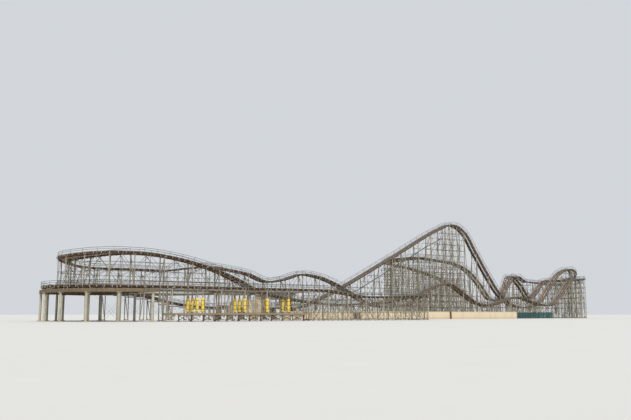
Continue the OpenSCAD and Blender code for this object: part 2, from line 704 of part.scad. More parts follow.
// Lap bar of one bench: two arms from its pin and a padded cross bar
module lap_bar(b) {
    arm = 0.42 * bench;
    rise = 19;
    color("black") placed() at_car()
        translate([-car_l / 2 + lap_x + b * bench, 0, floor_z + lap_z]) rotate([90, 0, 0]) {
            cylinder(h = car_w - 4, r = axle_r, center = true, $fn = 24);
            for (s = [-1, 1])
                translate([0, 0, s * (car_w / 2 - tub_t - 6) - 2]) linear_extrude(4)
                    polygon([[-5, -4], [5, -4], [5, 8], [2 - arm, rise + 1], [-arm, rise - 5], [-5, 3]]);
            translate([2 - arm, rise - 2, 0])
                cylinder(h = car_w - 2 * tub_t - 12, r = 5, center = true, $fn = 24);
        }
}

// What each kind of piece is made by is one module a stretch of the ride
module bents_lift() color("lightgray") placed() bents(LIFT);
module bracing_lift() color("silver") placed() panels(LIFT);
module deck_lift() color("sienna") placed() decks(LIFT);
module rails_lift() color("dimgray") placed() rails(LIFT);
module handrails_lift() color("gray") placed() handrails(LIFT);
module bents_drop() color("lightgray") placed() bents(DROP);
module bracing_drop() color("silver") placed() panels(DROP);
module deck_drop() color("sienna") placed() decks(DROP);
module rails_drop() color("dimgray") placed() rails(DROP);
module handrails_drop() color("gray") placed() handrails(DROP);
module bents_back() color("lightgray") placed() bents(BACK);
module bracing_back() color("silver") placed() panels(BACK);
module deck_back() color("sienna") placed() decks(BACK);
module rails_back() color("dimgray") placed() rails(BACK);
module handrails_back() color("gray") placed() handrails(BACK);
module bents_second() color("lightgray") placed() bents(SECOND);
module bracing_second() color("silver") placed() panels(SECOND);
module deck_second() color("sienna") placed() decks(SECOND);
module rails_second() color("dimgray") placed() rails(SECOND);
module handrails_second() color("gray") placed() handrails(SECOND);
module bents_hill() color("lightgray") placed() bents(HILL);
module bracing_hill() color("silver") placed() panels(HILL);
module deck_hill() color("sienna") placed() decks(HILL);
module rails_hill() color("dimgray") placed() rails(HILL);
module handrails_hill() color("gray") placed() handrails(HILL);
module bents_fan() color("lightgray") placed() bents(FAN);
module bracing_fan() color("silver") placed() panels(FAN);
module deck_fan() color("sienna") placed() decks(FAN);
module rails_fan() color("dimgray") placed() rails(FAN);
module handrails_fan() color("gray") placed() handrails(FAN);
module bents_brake() color("lightgray") placed() bents(BRAKE);
module bracing_brake() color("silver") placed() panels(BRAKE);
module deck_brake() color("sienna") placed() decks(BRAKE);
module rails_brake() color("dimgray") placed() rails(BRAKE);
module handrails_brake() color("gray") placed() handrails(BRAKE);
module bents_station() color("lightgray") placed() bents(STATION);
module bracing_station() color("silver") placed() panels(STATION);
module deck_station() color("sienna") placed() decks(STATION);
module rails_station() color("dimgray") placed() rails(STATION);
module handrails_station() color("gray") placed() handrails(STATION);
module wheelset_front() wheelset(axle_x);
module wheelset_rear() wheelset(-axle_x);
module lap_bar_front() lap_bar(1);
module lap_bar_rear() lap_bar(0);

bents_lift();
bracing_lift();
deck_lift();
rails_lift();
handrails_lift();
bents_drop();
bracing_drop();
deck_drop();
rails_drop();
handrails_drop();
bents_back();
bracing_back();
deck_back();
rails_back();
handrails_back();
bents_second();
bracing_second();
deck_second();
rails_second();
handrails_second();
bents_hill();
bracing_hill();
deck_hill();
rails_hill();
handrails_hill();
bents_fan();
bracing_fan();
deck_fan();
rails_fan();
handrails_fan();
bents_brake();
bracing_brake();
deck_brake();
rails_brake();
handrails_brake();
bents_station();
bracing_station();
deck_station();
rails_station();
handrails_station();
lift_rack();
chain_return();
turn_frame();
turn_columns();
platform();
station_posts();
station_roof();
station_booth();
pier_deck();
piles();
post_pads();
screen_wall();
fence();
pier_steps();
car_tub();
car_chassis();
wheelset_front();
wheelset_rear();
lap_bar_front();
lap_bar_rear();
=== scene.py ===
"""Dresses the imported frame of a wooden-track roller coaster, a 1:10 scale model.

The frame gives the track's route, the bents and the station; the add-on lays ties, boards, laminated
rails and handrails along that route, fills the trestle in and gives every piece its finish.
"""

import json
import math

import bmesh
import bpy
import numpy as np
from bpy.props import FloatProperty, FloatVectorProperty, PointerProperty
from mathutils import Matrix, Vector


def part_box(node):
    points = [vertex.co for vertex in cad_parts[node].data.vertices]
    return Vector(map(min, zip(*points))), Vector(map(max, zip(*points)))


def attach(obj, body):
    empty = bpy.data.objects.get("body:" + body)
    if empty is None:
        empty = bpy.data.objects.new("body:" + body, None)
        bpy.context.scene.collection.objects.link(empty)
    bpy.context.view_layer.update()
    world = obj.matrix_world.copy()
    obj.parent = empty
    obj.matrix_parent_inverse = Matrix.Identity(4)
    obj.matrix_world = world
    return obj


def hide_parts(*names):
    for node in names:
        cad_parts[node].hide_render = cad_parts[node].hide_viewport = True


bl_info = {
    "name": "Wooden-Track Coaster Model",
    "version": (1, 0, 0),
    "blender": (4, 5, 0),
    "location": "3D View > Sidebar > Coaster",
    "description": "Fine pieces, finishes and stage for the packed frame of a 1:10 roller coaster",
    "category": "Object",
}

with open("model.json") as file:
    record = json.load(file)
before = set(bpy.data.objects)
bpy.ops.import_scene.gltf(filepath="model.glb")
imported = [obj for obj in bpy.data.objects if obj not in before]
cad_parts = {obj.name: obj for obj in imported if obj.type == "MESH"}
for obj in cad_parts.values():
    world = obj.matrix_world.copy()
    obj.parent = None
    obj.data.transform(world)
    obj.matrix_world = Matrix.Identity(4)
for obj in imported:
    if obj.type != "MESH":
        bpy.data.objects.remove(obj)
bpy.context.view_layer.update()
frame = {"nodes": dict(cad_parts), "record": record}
NODES = frame["nodes"]
SLOTS = {sub["material_slot"] for sub in frame["record"]["subparts"]}
RUNS = ("lift", "drop", "back", "second", "hill", "fan", "brake", "station")

# Sizes of the frame's own track and trestle, which the fine pieces follow
DECK = 0.012  # thickness of the deck
EDGE = 0.145  # from the middle line to the edge of the deck
RAIL_OUT = 0.055  # from the middle line to the middle of a rail
POST_OUT = 0.115  # from the middle line to the middle of a post
POST = 0.020  # side of a post
CAP = 0.020  # depth of a bent's cap
TIER = 0.2  # height between two ledgers
LOW_LEVEL = 0.69  # height of the girders over the pier
THIN = 0.004  # thickness of the light bracing


def length(default, text):
    return FloatProperty(name=text, description=text, default=default, min=0.0005, unit="LENGTH")


def colour(red, green, blue, text):
    """A colour given as a painter's 0 to 255, kept linear."""
    linear = [((c / 255 + 0.055) / 1.055) ** 2.4 for c in (red, green, blue)]
    return FloatVectorProperty(name=text, description=text, subtype="COLOR", size=3, min=0, max=1,
                               default=linear)


class TrackSizes(bpy.types.PropertyGroup):
    """Sizes of what is laid along the track."""

    tie_pitch: length(0.06, "Distance between cross ties")
    tie_width: length(0.016, "Width of a cross tie")
    rail_width: length(0.012, "Width of a rail stack")
    rail_height: length(0.018, "Height of a rail stack")
    board_width: length(0.019, "Width of a walkway board")
    handrail_height: length(0.103, "Height of the handrail above the deck")
    handrail_width: length(0.004, "Width of a handrail timber")
    rail_post_pitch: length(0.305, "Distance between handrail posts")
    bracket_pitch: length(0.1525, "Distance between the brackets at the deck's edge")
    link: length(0.02, "Length of a chain link")


class TrestleSizes(bpy.types.PropertyGroup):
    """Sizes of the trestle's fine members."""

    inner_post: length(0.010, "Side of a post between two main bents")
    angle: length(0.009, "Leg of a bracing angle")
    stringer: length(0.026, "Depth of a stringer")
    footing: length(0.05, "Side of a footing")


class Colours(bpy.types.PropertyGroup):
    """Colours of the finishes."""

    trestle: colour(158, 151, 132, "Trestle paint")
    # The bracing paint is the trestle paint at about four fifths: painted shade that makes the braces darker
    # than the posts
    bracing: colour(124, 119, 104, "Bracing paint")
    timber: colour(136, 103, 74, "Track timber")
    boards: colour(156, 130, 100, "Walkway boards")
    handrail: colour(104, 104, 98, "Handrail paint")
    frame: colour(112, 98, 76, "Raised frame")
    steel: colour(74, 68, 64, "Dark steel")
    rust: colour(128, 76, 42, "Rust")
    tan: colour(208, 192, 162, "Tan panels")
    white: colour(216, 214, 204, "White paint")
    column: colour(180, 174, 150, "Column paint")
    teal: colour(34, 84, 82, "Fence paint")
    yellow: colour(236, 200, 44, "Pads")
    car: colour(168, 28, 24, "Car paint")
    cream: colour(232, 220, 188, "Car trim")
    black: colour(30, 30, 32, "Upholstery")
    concrete: colour(168, 160, 144, "Footings")
    floor: colour(214, 211, 204, "Studio floor")


# ---------------------------------------------------------------- finishes


class Value:
    """A socket in a finish's tree that takes part in sums."""

    def __init__(self, finish, socket):
        self.finish, self.socket = finish, socket

    def maths(self, operation, first, second, clamp=False):
        settings = {"operation": operation, "use_clamp": clamp}
        return self.finish.node("ShaderNodeMath", settings, [first, second])

    def __add__(self, other):
        return self.maths("ADD", self, other)

    def __sub__(self, other):
        return self.maths("SUBTRACT", self, other)

    def __rsub__(self, other):
        return self.maths("SUBTRACT", other, self)

    def __mul__(self, other):
        return self.maths("MULTIPLY", self, other)

    __radd__, __rmul__ = __add__, __mul__

    def between(self, low, high):
        """A mask that goes from 0 at low to 1 at high."""
        return self.maths("MULTIPLY", self - low, 1 / (high - low), clamp=True)


class Finish:
    """A procedural material whose pattern follows Object coordinates."""

    def __init__(self, name):
        self.material = bpy.data.materials.new(name)
        self.material.use_nodes = True
        self.tree = self.material.node_tree
        self.shader = self.tree.nodes["Principled BSDF"]
        self.place = self.node("ShaderNodeTexCoord", {}, {}, "Object")

    def node(self, kind, settings, inputs, output=0):
        node = self.tree.nodes.new(kind)
        for key, value in settings.items():
            setattr(node, key, value)
        for key, value in inputs.items() if isinstance(inputs, dict) else enumerate(inputs):
            self.feed(node.inputs[key], value)
        return Value(self, node.outputs[output])

    def feed(self, socket, value):
        if isinstance(value, Value):
            self.tree.links.new(value.socket, socket)
        else:
            socket.default_value = (*value, 1) if socket.type == "RGBA" else value

    def noise(self, scale, detail=3.0, stretch=(1, 1, 1), roughness=0.6):
        place = self.node("ShaderNodeMapping", {}, {"Vector": self.place, "Scale": stretch})
        return self.node("ShaderNodeTexNoise", {},
                         {"Vector": place, "Scale": scale, "Detail": detail, "Roughness": roughness})

    def height(self):
        return self.node("ShaderNodeSeparateXYZ", {}, {"Vector": self.place}, "Z")

    def island(self):
        """A number of its own for each loose piece of the mesh."""
        return self.node("ShaderNodeNewGeometry", {}, {}, "Random Per Island")

    def mix(self, first, second, mask):
        return self.node("ShaderNodeMix", {"data_type": "RGBA"}, {0: mask, 6: first, 7: second}, 2)

    def finish(self, base, roughness=0.6, metallic=0.0, relief=None, distance=0.001, coat=0.0):
        self.feed(self.shader.inputs["Base Color"], base)
        self.feed(self.shader.inputs["Roughness"], roughness)
        self.feed(self.shader.inputs["Metallic"], metallic)
        if coat:
            self.feed(self.shader.inputs["Coat Weight"], coat)
        if relief is not None:
            bump = {"Strength": 0.6, "Distance": distance, "Height": relief}
            self.feed(self.shader.inputs["Normal"], self.node("ShaderNodeBump", {}, bump))
        return self.material


def shade(rgb, factor):
    return tuple(min(1.0, c * factor) for c in rgb)


def weathered_paint(name, rgb, rust, streak=0.35, roughness=0.55):
    """Paint that has chalked in patches, with rust in specks and in runs down its faces."""
    f = Finish(name)
    patches = f.noise(1.3, 4).between(0.35, 0.7)
    bands = f.noise(11, 2).between(0.4, 0.62)
    streaks = f.noise(1.0, 3, (55, 55, 5)).between(0.54, 0.72)
    specks = f.noise(140, 2).between(0.6, 0.7)
    base = f.mix(f.mix(shade(rgb, 1.15), shade(rgb, 0.72), patches), shade(rgb, 0.55), bands * 0.4)
    base = f.mix(base, rust, streaks * streak)
    base = f.mix(base, shade(rust, 0.7), specks * 0.5)
    return f.finish(base, roughness + 0.25 * streaks, 0.0, f.noise(220, 3) * 0.4 + specks, 0.0006)


def sawn_timber(name, rgb, grain=(2, 30, 30), grey=0.5, boards=True):
    """Timber greyed by weather, each board of its own shade where the boards are separate."""
    f = Finish(name)
    lines = f.noise(6, 5, grain, 0.7)
    blotches = f.noise(2.2, 3).between(0.4, 0.65)
    base = f.mix(shade(rgb, 0.66), shade(rgb, 1.25), lines.between(0.3, 0.7))
    base = f.mix(base, shade(rgb, 0.5), f.island() * 0.45 if boards else f.noise(9, 1) * 0.4)
    silver = 0.33 * sum(rgb)
    base = f.mix(base, (silver * 1.25, silver * 1.22, silver * 1.15), blotches * grey)
    return f.finish(base, 0.72 + 0.2 * lines, 0.0, lines, 0.0012)


def bare_steel(name, rgb, metallic=0.85, roughness=0.38):
    """Steel with grease, fine scratches and a little rust in it."""
    f = Finish(name)
    grease = f.noise(26, 3).between(0.45, 0.65)
    scratches = f.noise(40, 4, (1, 9, 9), 0.75)
    rust = f.noise(60, 2).between(0.6, 0.7)
    base = f.mix(shade(rgb, 1.2), shade(rgb, 0.6), grease)
    base = f.mix(base, (0.18, 0.08, 0.04), rust * 0.5)
    return f.finish(base, roughness + 0.3 * grease, metallic, scratches, 0.0004)


def ribbed_panel(name, rgb, pitch, rust):
    """Painted sheet with ribs along its length, dusty at the foot."""
    f = Finish(name)
    ribs = f.node("ShaderNodeTexWave", {"wave_type": "BANDS", "bands_direction": "X"},
                  {"Vector": f.place, "Scale": 0.314 / pitch, "Distortion": 0.0})
    dust = 1 - f.height().between(0.0, 0.09)
    stains = f.noise(3.0, 4, (1, 1, 0.3)).between(0.5, 0.75)
    base = f.mix(shade(rgb, 1.05), shade(rgb, 0.72), stains * 0.7)
    base = f.mix(base, shade(rust, 1.3), dust * 0.35)
    return f.finish(base, 0.6 + 0.2 * stains, 0.0, ribs, 0.002)


def padded_vinyl(name, rgb, roughness=0.42, dirt=0.4):
    """Coated cloth with a fine weave, scuffed and soiled."""
    f = Finish(name)
    weave = f.noise(900, 1)
    scuffs = f.noise(18, 4).between(0.5, 0.72)
    base = f.mix(rgb, shade(rgb, 0.55), scuffs * dirt)
    return f.finish(base, roughness + 0.25 * scuffs, 0.0, weave + scuffs * 0.3, 0.0005)


def gloss_paint(name, rgb):
    """Coach paint under a clear coat, with road dust on it."""
    f = Finish(name)
    flake = f.noise(1600, 1).between(0.55, 0.7)
    dust = f.noise(30, 4).between(0.55, 0.8)
    base = f.mix(f.mix(rgb, shade(rgb, 1.25), flake * 0.4), (0.35, 0.32, 0.28), dust * 0.18)
    return f.finish(base, 0.28 + 0.3 * dust, 0.0, flake, 0.0002, coat=0.8)


def cast_concrete(name, rgb):
    """Concrete, darker in random patches, with a gritty face."""
    f = Finish(name)
    grit = f.noise(180, 4)
    base = f.mix(shade(rgb, 1.05), shade(rgb, 0.6), f.noise(5, 4).between(0.4, 0.7))
    return f.finish(base, 0.85, 0.0, grit, 0.0012)


FINISH = {}


def make_finishes(c):
    """The finishes by name. A name with _solid is for a CAD node, whose triangles are all loose."""
    # dark is the track timber at half: painted shade on the stringers, painted shadow on the roof's trim, and
    # the wall gate's own dark wood
    rust, dark, pale = tuple(c.rust), shade(c.timber, 0.5), shade(c.tan, 0.7)
    along, upright = (2, 30, 30), (3, 3, 30)
    recipes = {
        "trestle_steel": (weathered_paint, c.trestle, rust, 0.55),
        # bracing_steel: the trestle paint darkened, painted shade on the ledgers and diagonals
        "bracing_steel": (weathered_paint, c.bracing, rust, 0.55),
        "handrail_steel": (weathered_paint, c.handrail, rust, 0.3, 0.45),
        "frame_steel": (weathered_paint, c.frame, rust, 0.6, 0.7),
        "track_rail": (sawn_timber, c.timber, along, 0.15),
        # stringer_timber: the track timber at half its brightness, painted shade for the dark band under the
        # deck
        "stringer_timber": (sawn_timber, dark, along, 0.1),
        "deck_timber": (sawn_timber, c.boards, along, 0.5),
        "deck_timber_solid": (sawn_timber, c.boards, along, 0.5, False),
        "timber_wall": (sawn_timber, pale, upright, 0.3),
        "timber_wall_solid": (sawn_timber, pale, upright, 0.3, False),
        # dark_timber: the wall gate's own dark wood, and painted shadow on the roof's trim
        "dark_timber": (sawn_timber, dark, (30, 30, 3), 0.1, False),
        "dark_steel": (bare_steel, c.steel),
        "wheel_steel": (bare_steel, (0.42, 0.42, 0.43), 0.95, 0.25),
        "white_paint": (weathered_paint, c.white, rust, 0.15),
        "column_paint": (weathered_paint, c.column, rust, 0.3, 0.6),
        "tan_panel": (ribbed_panel, c.tan, 0.05, rust),
        "fence_paint": (weathered_paint, c.teal, rust, 0.2),
        "yellow_pad": (padded_vinyl, c.yellow),
        "car_paint": (gloss_paint, c.car),
        "car_trim": (gloss_paint, c.cream),
        "lap_bar": (padded_vinyl, c.black, 0.5, 0.2),
        "tyre": (padded_vinyl, shade(c.rust, 0.9), 0.5, 0.5),
        "glass": (bare_steel, (0.10, 0.14, 0.16), 0.2, 0.12),
        "concrete": (cast_concrete, c.concrete),
    }
    FINISH.update({name: recipe(name, *settings) for name, (recipe, *settings) in recipes.items()})
    for sub in frame["record"]["subparts"]:
        slot = "frame_steel" if sub["node"] == "turn_frame" else sub["material_slot"]
        mesh = NODES[sub["node"]].data
        mesh.materials.clear()
        mesh.materials.append(FINISH.get(slot + "_solid", FINISH[slot]))


# ---------------------------------------------------------------- modelling


def pick(*objects):
    """Selects these objects alone, the first of them active."""
    bpy.ops.object.select_all(action="DESELECT")
    for obj in objects:
        obj.select_set(True)
    bpy.context.view_layer.objects.active = objects[0]


def added(name, finish=None, scale=None):
    """Names what the last operator added, sizes it and puts its place in its mesh."""
    obj = bpy.context.active_object
    obj.name = name
    if scale:
        obj.scale = scale
    bpy.ops.object.transform_apply(location=True, rotation=True, scale=True)
    if finish:
        obj.data.materials.clear()
        obj.data.materials.append(FINISH[finish])
    return obj


def shaped(obj, kind, wanted, operator, **settings):
    """Runs an edit-mode operator on the faces, edges or vertices of obj that are wanted."""
    pick(obj)
    bpy.ops.object.mode_set(mode="EDIT")
    bpy.ops.mesh.select_mode(type=kind)
    mesh = bmesh.from_edit_mesh(obj.data)
    parts = {"FACE": mesh.faces, "EDGE": mesh.edges, "VERT": mesh.verts}[kind]
    for part in parts:
        part.select_set(bool(wanted(part)))
    mesh.select_flush_mode()
    bmesh.update_edit_mesh(obj.data)
    operator(**settings)
    bpy.ops.object.mode_set(mode="OBJECT")
    return obj


def modified(obj, kind, **settings):
    """Adds a modifier and applies it."""
    pick(obj)
    modifier = obj.modifiers.new(kind.title(), kind)
    for key, value in settings.items():
        setattr(modifier, key, value)
    bpy.ops.object.modifier_apply(modifier=modifier.name)
    return obj


def ends_of(edge):
    return edge.verts[0].co, edge.verts[1].co


def runs_along(edge, axis):
    a, b = ends_of(edge)
    return abs((b - a)[axis]) > 0.9 * (b - a).length


def bar_unit(chamfer=0.12):
    """A bar of unit length along X and unit section, its long edges chamfered."""
    bpy.ops.mesh.primitive_cube_add(size=1, location=(0.5, 0, 0))
    bar = added("bar")
    return shaped(bar, "EDGE", lambda e: runs_along(e, 0), bpy.ops.mesh.bevel, offset=chamfer, segments=1)


def angle_unit(thickness=0.2):
    """A steel angle of unit length along X and unit legs."""
    bpy.ops.mesh.primitive_plane_add(size=1, location=(0.5, 0, 0.5 - thickness / 2))
    leg = added("angle")
    shaped(leg, "EDGE", lambda e: runs_along(e, 0) and ends_of(e)[0].y > 0,
           bpy.ops.mesh.extrude_region_move, TRANSFORM_OT_translate={"value": (0, 0, -1 + thickness / 2)})
    return modified(leg, "SOLIDIFY", thickness=thickness, offset=0)


def disc_unit(sides, radius, depth, axis, chamfer, segments=1):
    """A disc about its middle with both rims rounded, its axis along X or Y."""
    turn = (math.pi / 2, 0, 0) if axis else (0, math.pi / 2, 0)
    bpy.ops.mesh.primitive_cylinder_add(vertices=sides, radius=radius, depth=depth, rotation=turn)
    return shaped(added("disc"), "EDGE", lambda e: not runs_along(e, axis), bpy.ops.mesh.bevel,
                  offset=chamfer, segments=segments)


def softened(obj):
    """Rounds a stuffed piece."""
    modified(obj, "SUBSURF", levels=1, render_levels=1)
    pick(obj)
    bpy.ops.object.shade_smooth()
    return obj


def block_unit(size, chamfer):
    """A block about its middle with all its edges chamfered."""
    bpy.ops.mesh.primitive_cube_add(size=1)
    block = added("block", scale=size)
    return shaped(block, "EDGE", lambda e: True, bpy.ops.mesh.bevel, offset=chamfer, segments=1)


def settled(obj, slot=None, body="ride", replaces=()):
    """Lets a finished piece ride on its body and stand for nodes.

    Its slot, the one that is given or else the one with its finish's name, is worked out but not kept.
    """
    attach(obj, body)
    slot = slot or next(name for name, material in FINISH.items() if material == obj.data.materials[0])
    slot in SLOTS
    if replaces:
        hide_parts(*replaces)
    return obj


def linked(name, data):
    """A new object with this data, in the scene."""
    obj = bpy.data.objects.new(name, data)
    bpy.context.collection.objects.link(obj)
    return obj


def copy_at(obj, name, place):
    """A copy of an object with a mesh of its own, moved to its place."""
    copy = linked(name, obj.data.copy())
    copy.data.transform(place)
    return copy


def joined(objects, name):
    """The first of the objects, with the others joined to it."""
    pick(*objects)
    bpy.ops.object.join()
    objects[0].name = name
    return objects[0]


def merged(obj, outwards=False):
    """Merges doubles, and turns the faces of a closed shell outwards where that is asked."""
    pick(obj)
    bpy.ops.object.mode_set(mode="EDIT")
    bpy.ops.mesh.select_all(action="SELECT")
    bpy.ops.mesh.remove_doubles(threshold=1e-6)
    if outwards:
        bpy.ops.mesh.normals_make_consistent(inside=False)
    bpy.ops.object.mode_set(mode="OBJECT")
    return obj


def stamp(name, unit, places, finish, slot=None, body="ride", replaces=()):
    """One piece that holds a copy of the unit at each place; the unit goes."""
    places = np.asarray([np.array(p) for p in places], dtype=float)
    corners = np.array([v.co for v in unit.data.vertices])
    faces = [tuple(f.vertices) for f in unit.data.polygons]
    bpy.data.objects.remove(unit)
    points = np.einsum("nij,kj->nki", places[:, :3, :3], corners) + places[:, None, :3, 3]
    starts = range(0, len(places) * len(corners), len(corners))
    faces = [tuple(i + start for i in f) for start in starts for f in faces]
    mesh = bpy.data.meshes.new(name)
    mesh.from_pydata(points.reshape(-1, 3), [], faces)
    mesh.materials.append(FINISH[finish])
    return settled(linked(name, mesh), slot, body, replaces)


def unit_vectors(v):
    return v / np.linalg.norm(v, axis=-1, keepdims=True)


def beams(starts, ends, width, depth, upright=(0, 0, 1)):
    """Places for a unit bar from each start to each end, its depth turned towards upright."""
    starts, ends = np.atleast_2d(starts).astype(float), np.atleast_2d(ends).astype(float)
    along = ends - starts
    x = unit_vectors(along)
    z = np.broadcast_to(np.asarray(upright, dtype=float), x.shape)
    z = unit_vectors(z - x * (x * z).sum(1, keepdims=True))
    y = np.cross(z, x)
    places = np.zeros((len(starts), 4, 4))
    places[:, :3, 0], places[:, :3, 1], places[:, :3, 2] = along, y * width, z * depth
    places[:, :3, 3], places[:, 3, 3] = starts, 1
    return places


# ---------------------------------------------------------------- the track's route


def corners_of(node):
    """The corners of each triangle of a CAD node, one after the other."""
    mesh = NODES[node].data
    return np.array([mesh.vertices[i].co for face in mesh.polygons for i in face.vertices])


def boxes(node):
    """The eight corners of each box of a CAD node, whose twelve triangles follow each other."""
    return [np.unique(box.round(5), axis=0) for box in corners_of(node).reshape(-1, 36, 3)]


def over(node, place):
    """Whether a place, or each of several, lies over the box of a CAD node in plan."""
    low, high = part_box(node)
    x, y = place[..., 0], place[..., 1]
    return (x > low.x) & (x < high.x) & (y > low.y) & (y < high.y)


def bays(run):
    """Each bay of a run as the ends of its middle line on the deck and the way across its rails."""
    rails = []
    for box in boxes(f"rails_{run}"):
        near = box[np.argsort(np.linalg.norm(box - box[0], axis=1))]
        along, up = near[4] - near[0], near[2] - near[0]
        foot = box.mean(axis=0) - up / 2 * np.sign(up[2])
        rails.append((foot - along / 2, foot + along / 2))
    found = []
    while rails:
        a = rails.pop()
        b = rails.pop(int(np.argmin([np.linalg.norm(sum(other) - sum(a)) for other in rails])))
        if np.linalg.norm(a[0] - b[0]) > np.linalg.norm(a[0] - b[1]):
            b = b[::-1]
        found.append(((a[0] + b[0]) / 2, (a[1] + b[1]) / 2, sum(a) - sum(b), run))
    return found


class Track:
    """The middle line of the deck's top, smooth through the stations of the frame."""

    STEPS = 12

    def __init__(self):
        loose = [bay for run in RUNS for bay in bays(run)]
        end = min((e for bay in loose if bay[3] == "lift" for e in bay[:2]), key=lambda e: e[0])
        chain = []
        while loose:
            gaps = [min(np.linalg.norm(bay[0] - end), np.linalg.norm(bay[1] - end)) for bay in loose]
            start, stop, across, run = loose.pop(int(np.argmin(gaps)))
            if np.linalg.norm(stop - end) < np.linalg.norm(start - end):
                start, stop = stop, start
            side = np.cross((0, 0, 1), stop - start)
            chain.append((start, stop, unit_vectors(across * np.sign(across @ side)), run))
            end = stop
        starts, stops, lefts = (np.array([bay[i] for bay in chain]) for i in range(3))
        self.run_of = [bay[3] for bay in chain]
        self.stations = (starts + np.roll(stops, 1, axis=0)) / 2
        self.station_left = unit_vectors(lefts + np.roll(lefts, 1, axis=0))
        self._smooth()

    def _smooth(self):
        """Hermite curve through the stations, each slope from its two bays."""
        p = self.stations
        q = np.roll(p, -1, axis=0)
        bay = np.linalg.norm(q - p, axis=1)[:, None]
        before, back = np.roll(bay, 1, axis=0), np.roll(p, 1, axis=0)
        slope = ((p - back) / before * bay + (q - p) / bay * before) / (before + bay)
        slope_q = np.roll(slope, -1, axis=0)
        left_q = np.roll(self.station_left, -1, axis=0)
        t = (np.arange(self.STEPS) / self.STEPS)[:, None, None]
        place = (p * (1 + 2 * t) * (1 - t) ** 2 + q * t * t * (3 - 2 * t)
                 + bay * (slope * t * (1 - t) ** 2 - slope_q * t * t * (1 - t)))
        ease = t * t * (3 - 2 * t)
        self.place = place.transpose(1, 0, 2).reshape(-1, 3)
        ahead = unit_vectors(np.roll(self.place, -1, axis=0) - np.roll(self.place, 1, axis=0))
        left = (self.station_left * (1 - ease) + left_q * ease).transpose(1, 0, 2).reshape(-1, 3)
        self.left = unit_vectors(left - ahead * (left * ahead).sum(1, keepdims=True))
        self.ahead = ahead
        steps = np.linalg.norm(np.roll(self.place, -1, axis=0) - self.place, axis=1)
        self.distance = np.concatenate([[0], np.cumsum(steps)])
        self.total = self.distance[-1]

    def station(self, i):
        """Distance of station i along the track."""
        laps, i = divmod(i, len(self.stations))
        return self.distance[i * self.STEPS] + laps * self.total

    def bays_of(self, run):
        return [i for i, name in enumerate(self.run_of) if name == run]

    def reach(self, run):
        numbers = self.bays_of(run)
        return self.station(numbers[0]), self.station(numbers[-1] + 1)

    def at(self, s):
        """Place, way ahead, left and up at each distance."""
        s, known = np.atleast_1d(s) % self.total, self.distance[:-1]

        def blend(rows):
            return np.stack([np.interp(s, known, row, period=self.total) for row in rows.T], axis=1)

        ahead = unit_vectors(blend(self.ahead))
        left = blend(self.left)
        left = unit_vectors(left - ahead * (left * ahead).sum(1, keepdims=True))
        return blend(self.place), ahead, left, np.cross(ahead, left)

    def point(self, s, out, up):
        place, _, left, above = self.at(s)
        return place + left * np.atleast_1d(out)[:, None] + above * np.atleast_1d(up)[:, None]

    def placed(self, s, out=0.0, up=0.0):
        """Places along the track for a unit whose X is ahead, Y left and Z up."""
        place, ahead, left, above = self.at(s)
        places = np.zeros((len(place), 4, 4))
        places[:, :3, 0], places[:, :3, 1], places[:, :3, 2] = ahead, left, above
        places[:, :3, 3], places[:, 3, 3] = place + left * out + above * up, 1
        return places

    def crossed(self, place, clear=0.34, drop=0.15):
        """Whether another part of the track passes close below a place."""
        away = np.linalg.norm(self.place[:, :2] - place[:2], axis=1)
        return bool(((away < clear) & (self.place[:, 2] < place[2] - drop)).any())


track = Track()


def poly_line(curve, points, closed=False):
    """Adds a line of straight stretches through the points to a curve."""
    line = curve.splines.new("POLY")
    line.points.add(len(points) - 1)
    line.use_cyclic_u = closed
    for point, place in zip(line.points, points):
        point.co = (*place, 1)
    return line


def solid_of(name, curve):
    """The mesh of a curve and its section."""
    pick(linked(name, curve))
    bpy.ops.object.convert(target="MESH")
    return bpy.context.active_object


def sweep(name, outlines, s0, s1, finish, step=0.05):
    """Draws closed outlines, given as (left, up) points, along the track from s0 to s1."""
    count = max(2, int(round((s1 - s0) / step)) + 1)
    place, ahead, left, _ = track.at(np.linspace(s0, s1 - 1e-6, count))
    path = bpy.data.curves.new(name, "CURVE")
    path.dimensions, path.twist_mode, path.bevel_mode = "3D", "Z_UP", "OBJECT"
    tilts = np.arcsin(left[:, 2] / np.sqrt(1 - ahead[:, 2] ** 2))
    for point, tilt in zip(poly_line(path, place).points, tilts):
        point.tilt = tilt
    section = bpy.data.curves.new(name + "_section", "CURVE")
    section.dimensions = "2D"
    for outline in outlines:
        poly_line(section, [(-out, up, 0) for out, up in outline], closed=True)
    shape = linked(section.name, section)
    path.bevel_object, path.use_fill_caps = shape, True
    obj = solid_of(name, path)
    bpy.data.objects.remove(shape)
    obj.data.materials.append(FINISH[finish])
    return merged(obj)


def oblong(out, up, width, height):
    left, right = out - width / 2, out + width / 2
    return [(left, up), (right, up), (right, up + height), (left, up + height)]


def mirrored(outline):
    return [(-out, up) for out, up in reversed(outline)]


def both(outline):
    return [outline, mirrored(outline)]


def spaced(s0, s1, pitch):
    """Distances from s0 to s1 about a pitch apart."""
    count = max(1, int(round((s1 - s0) / pitch)))
    return s0 + (np.arange(count) + 0.5) * (s1 - s0) / count


def open_stretches(run):
    """Stretches of a run outside the station, where handrails stand."""
    s0, s1 = track.reach(run)
    s = np.linspace(s0, s1, 400)
    inside = over("platform", track.at(s)[0])
    if not inside.any():
        return [(s0, s1)]
    first, last = s[inside][0], s[inside][-1]
    return [(a, b) for a, b in ((s0, first), (last, s1)) if b - a > 0.2]


# ---------------------------------------------------------------- members


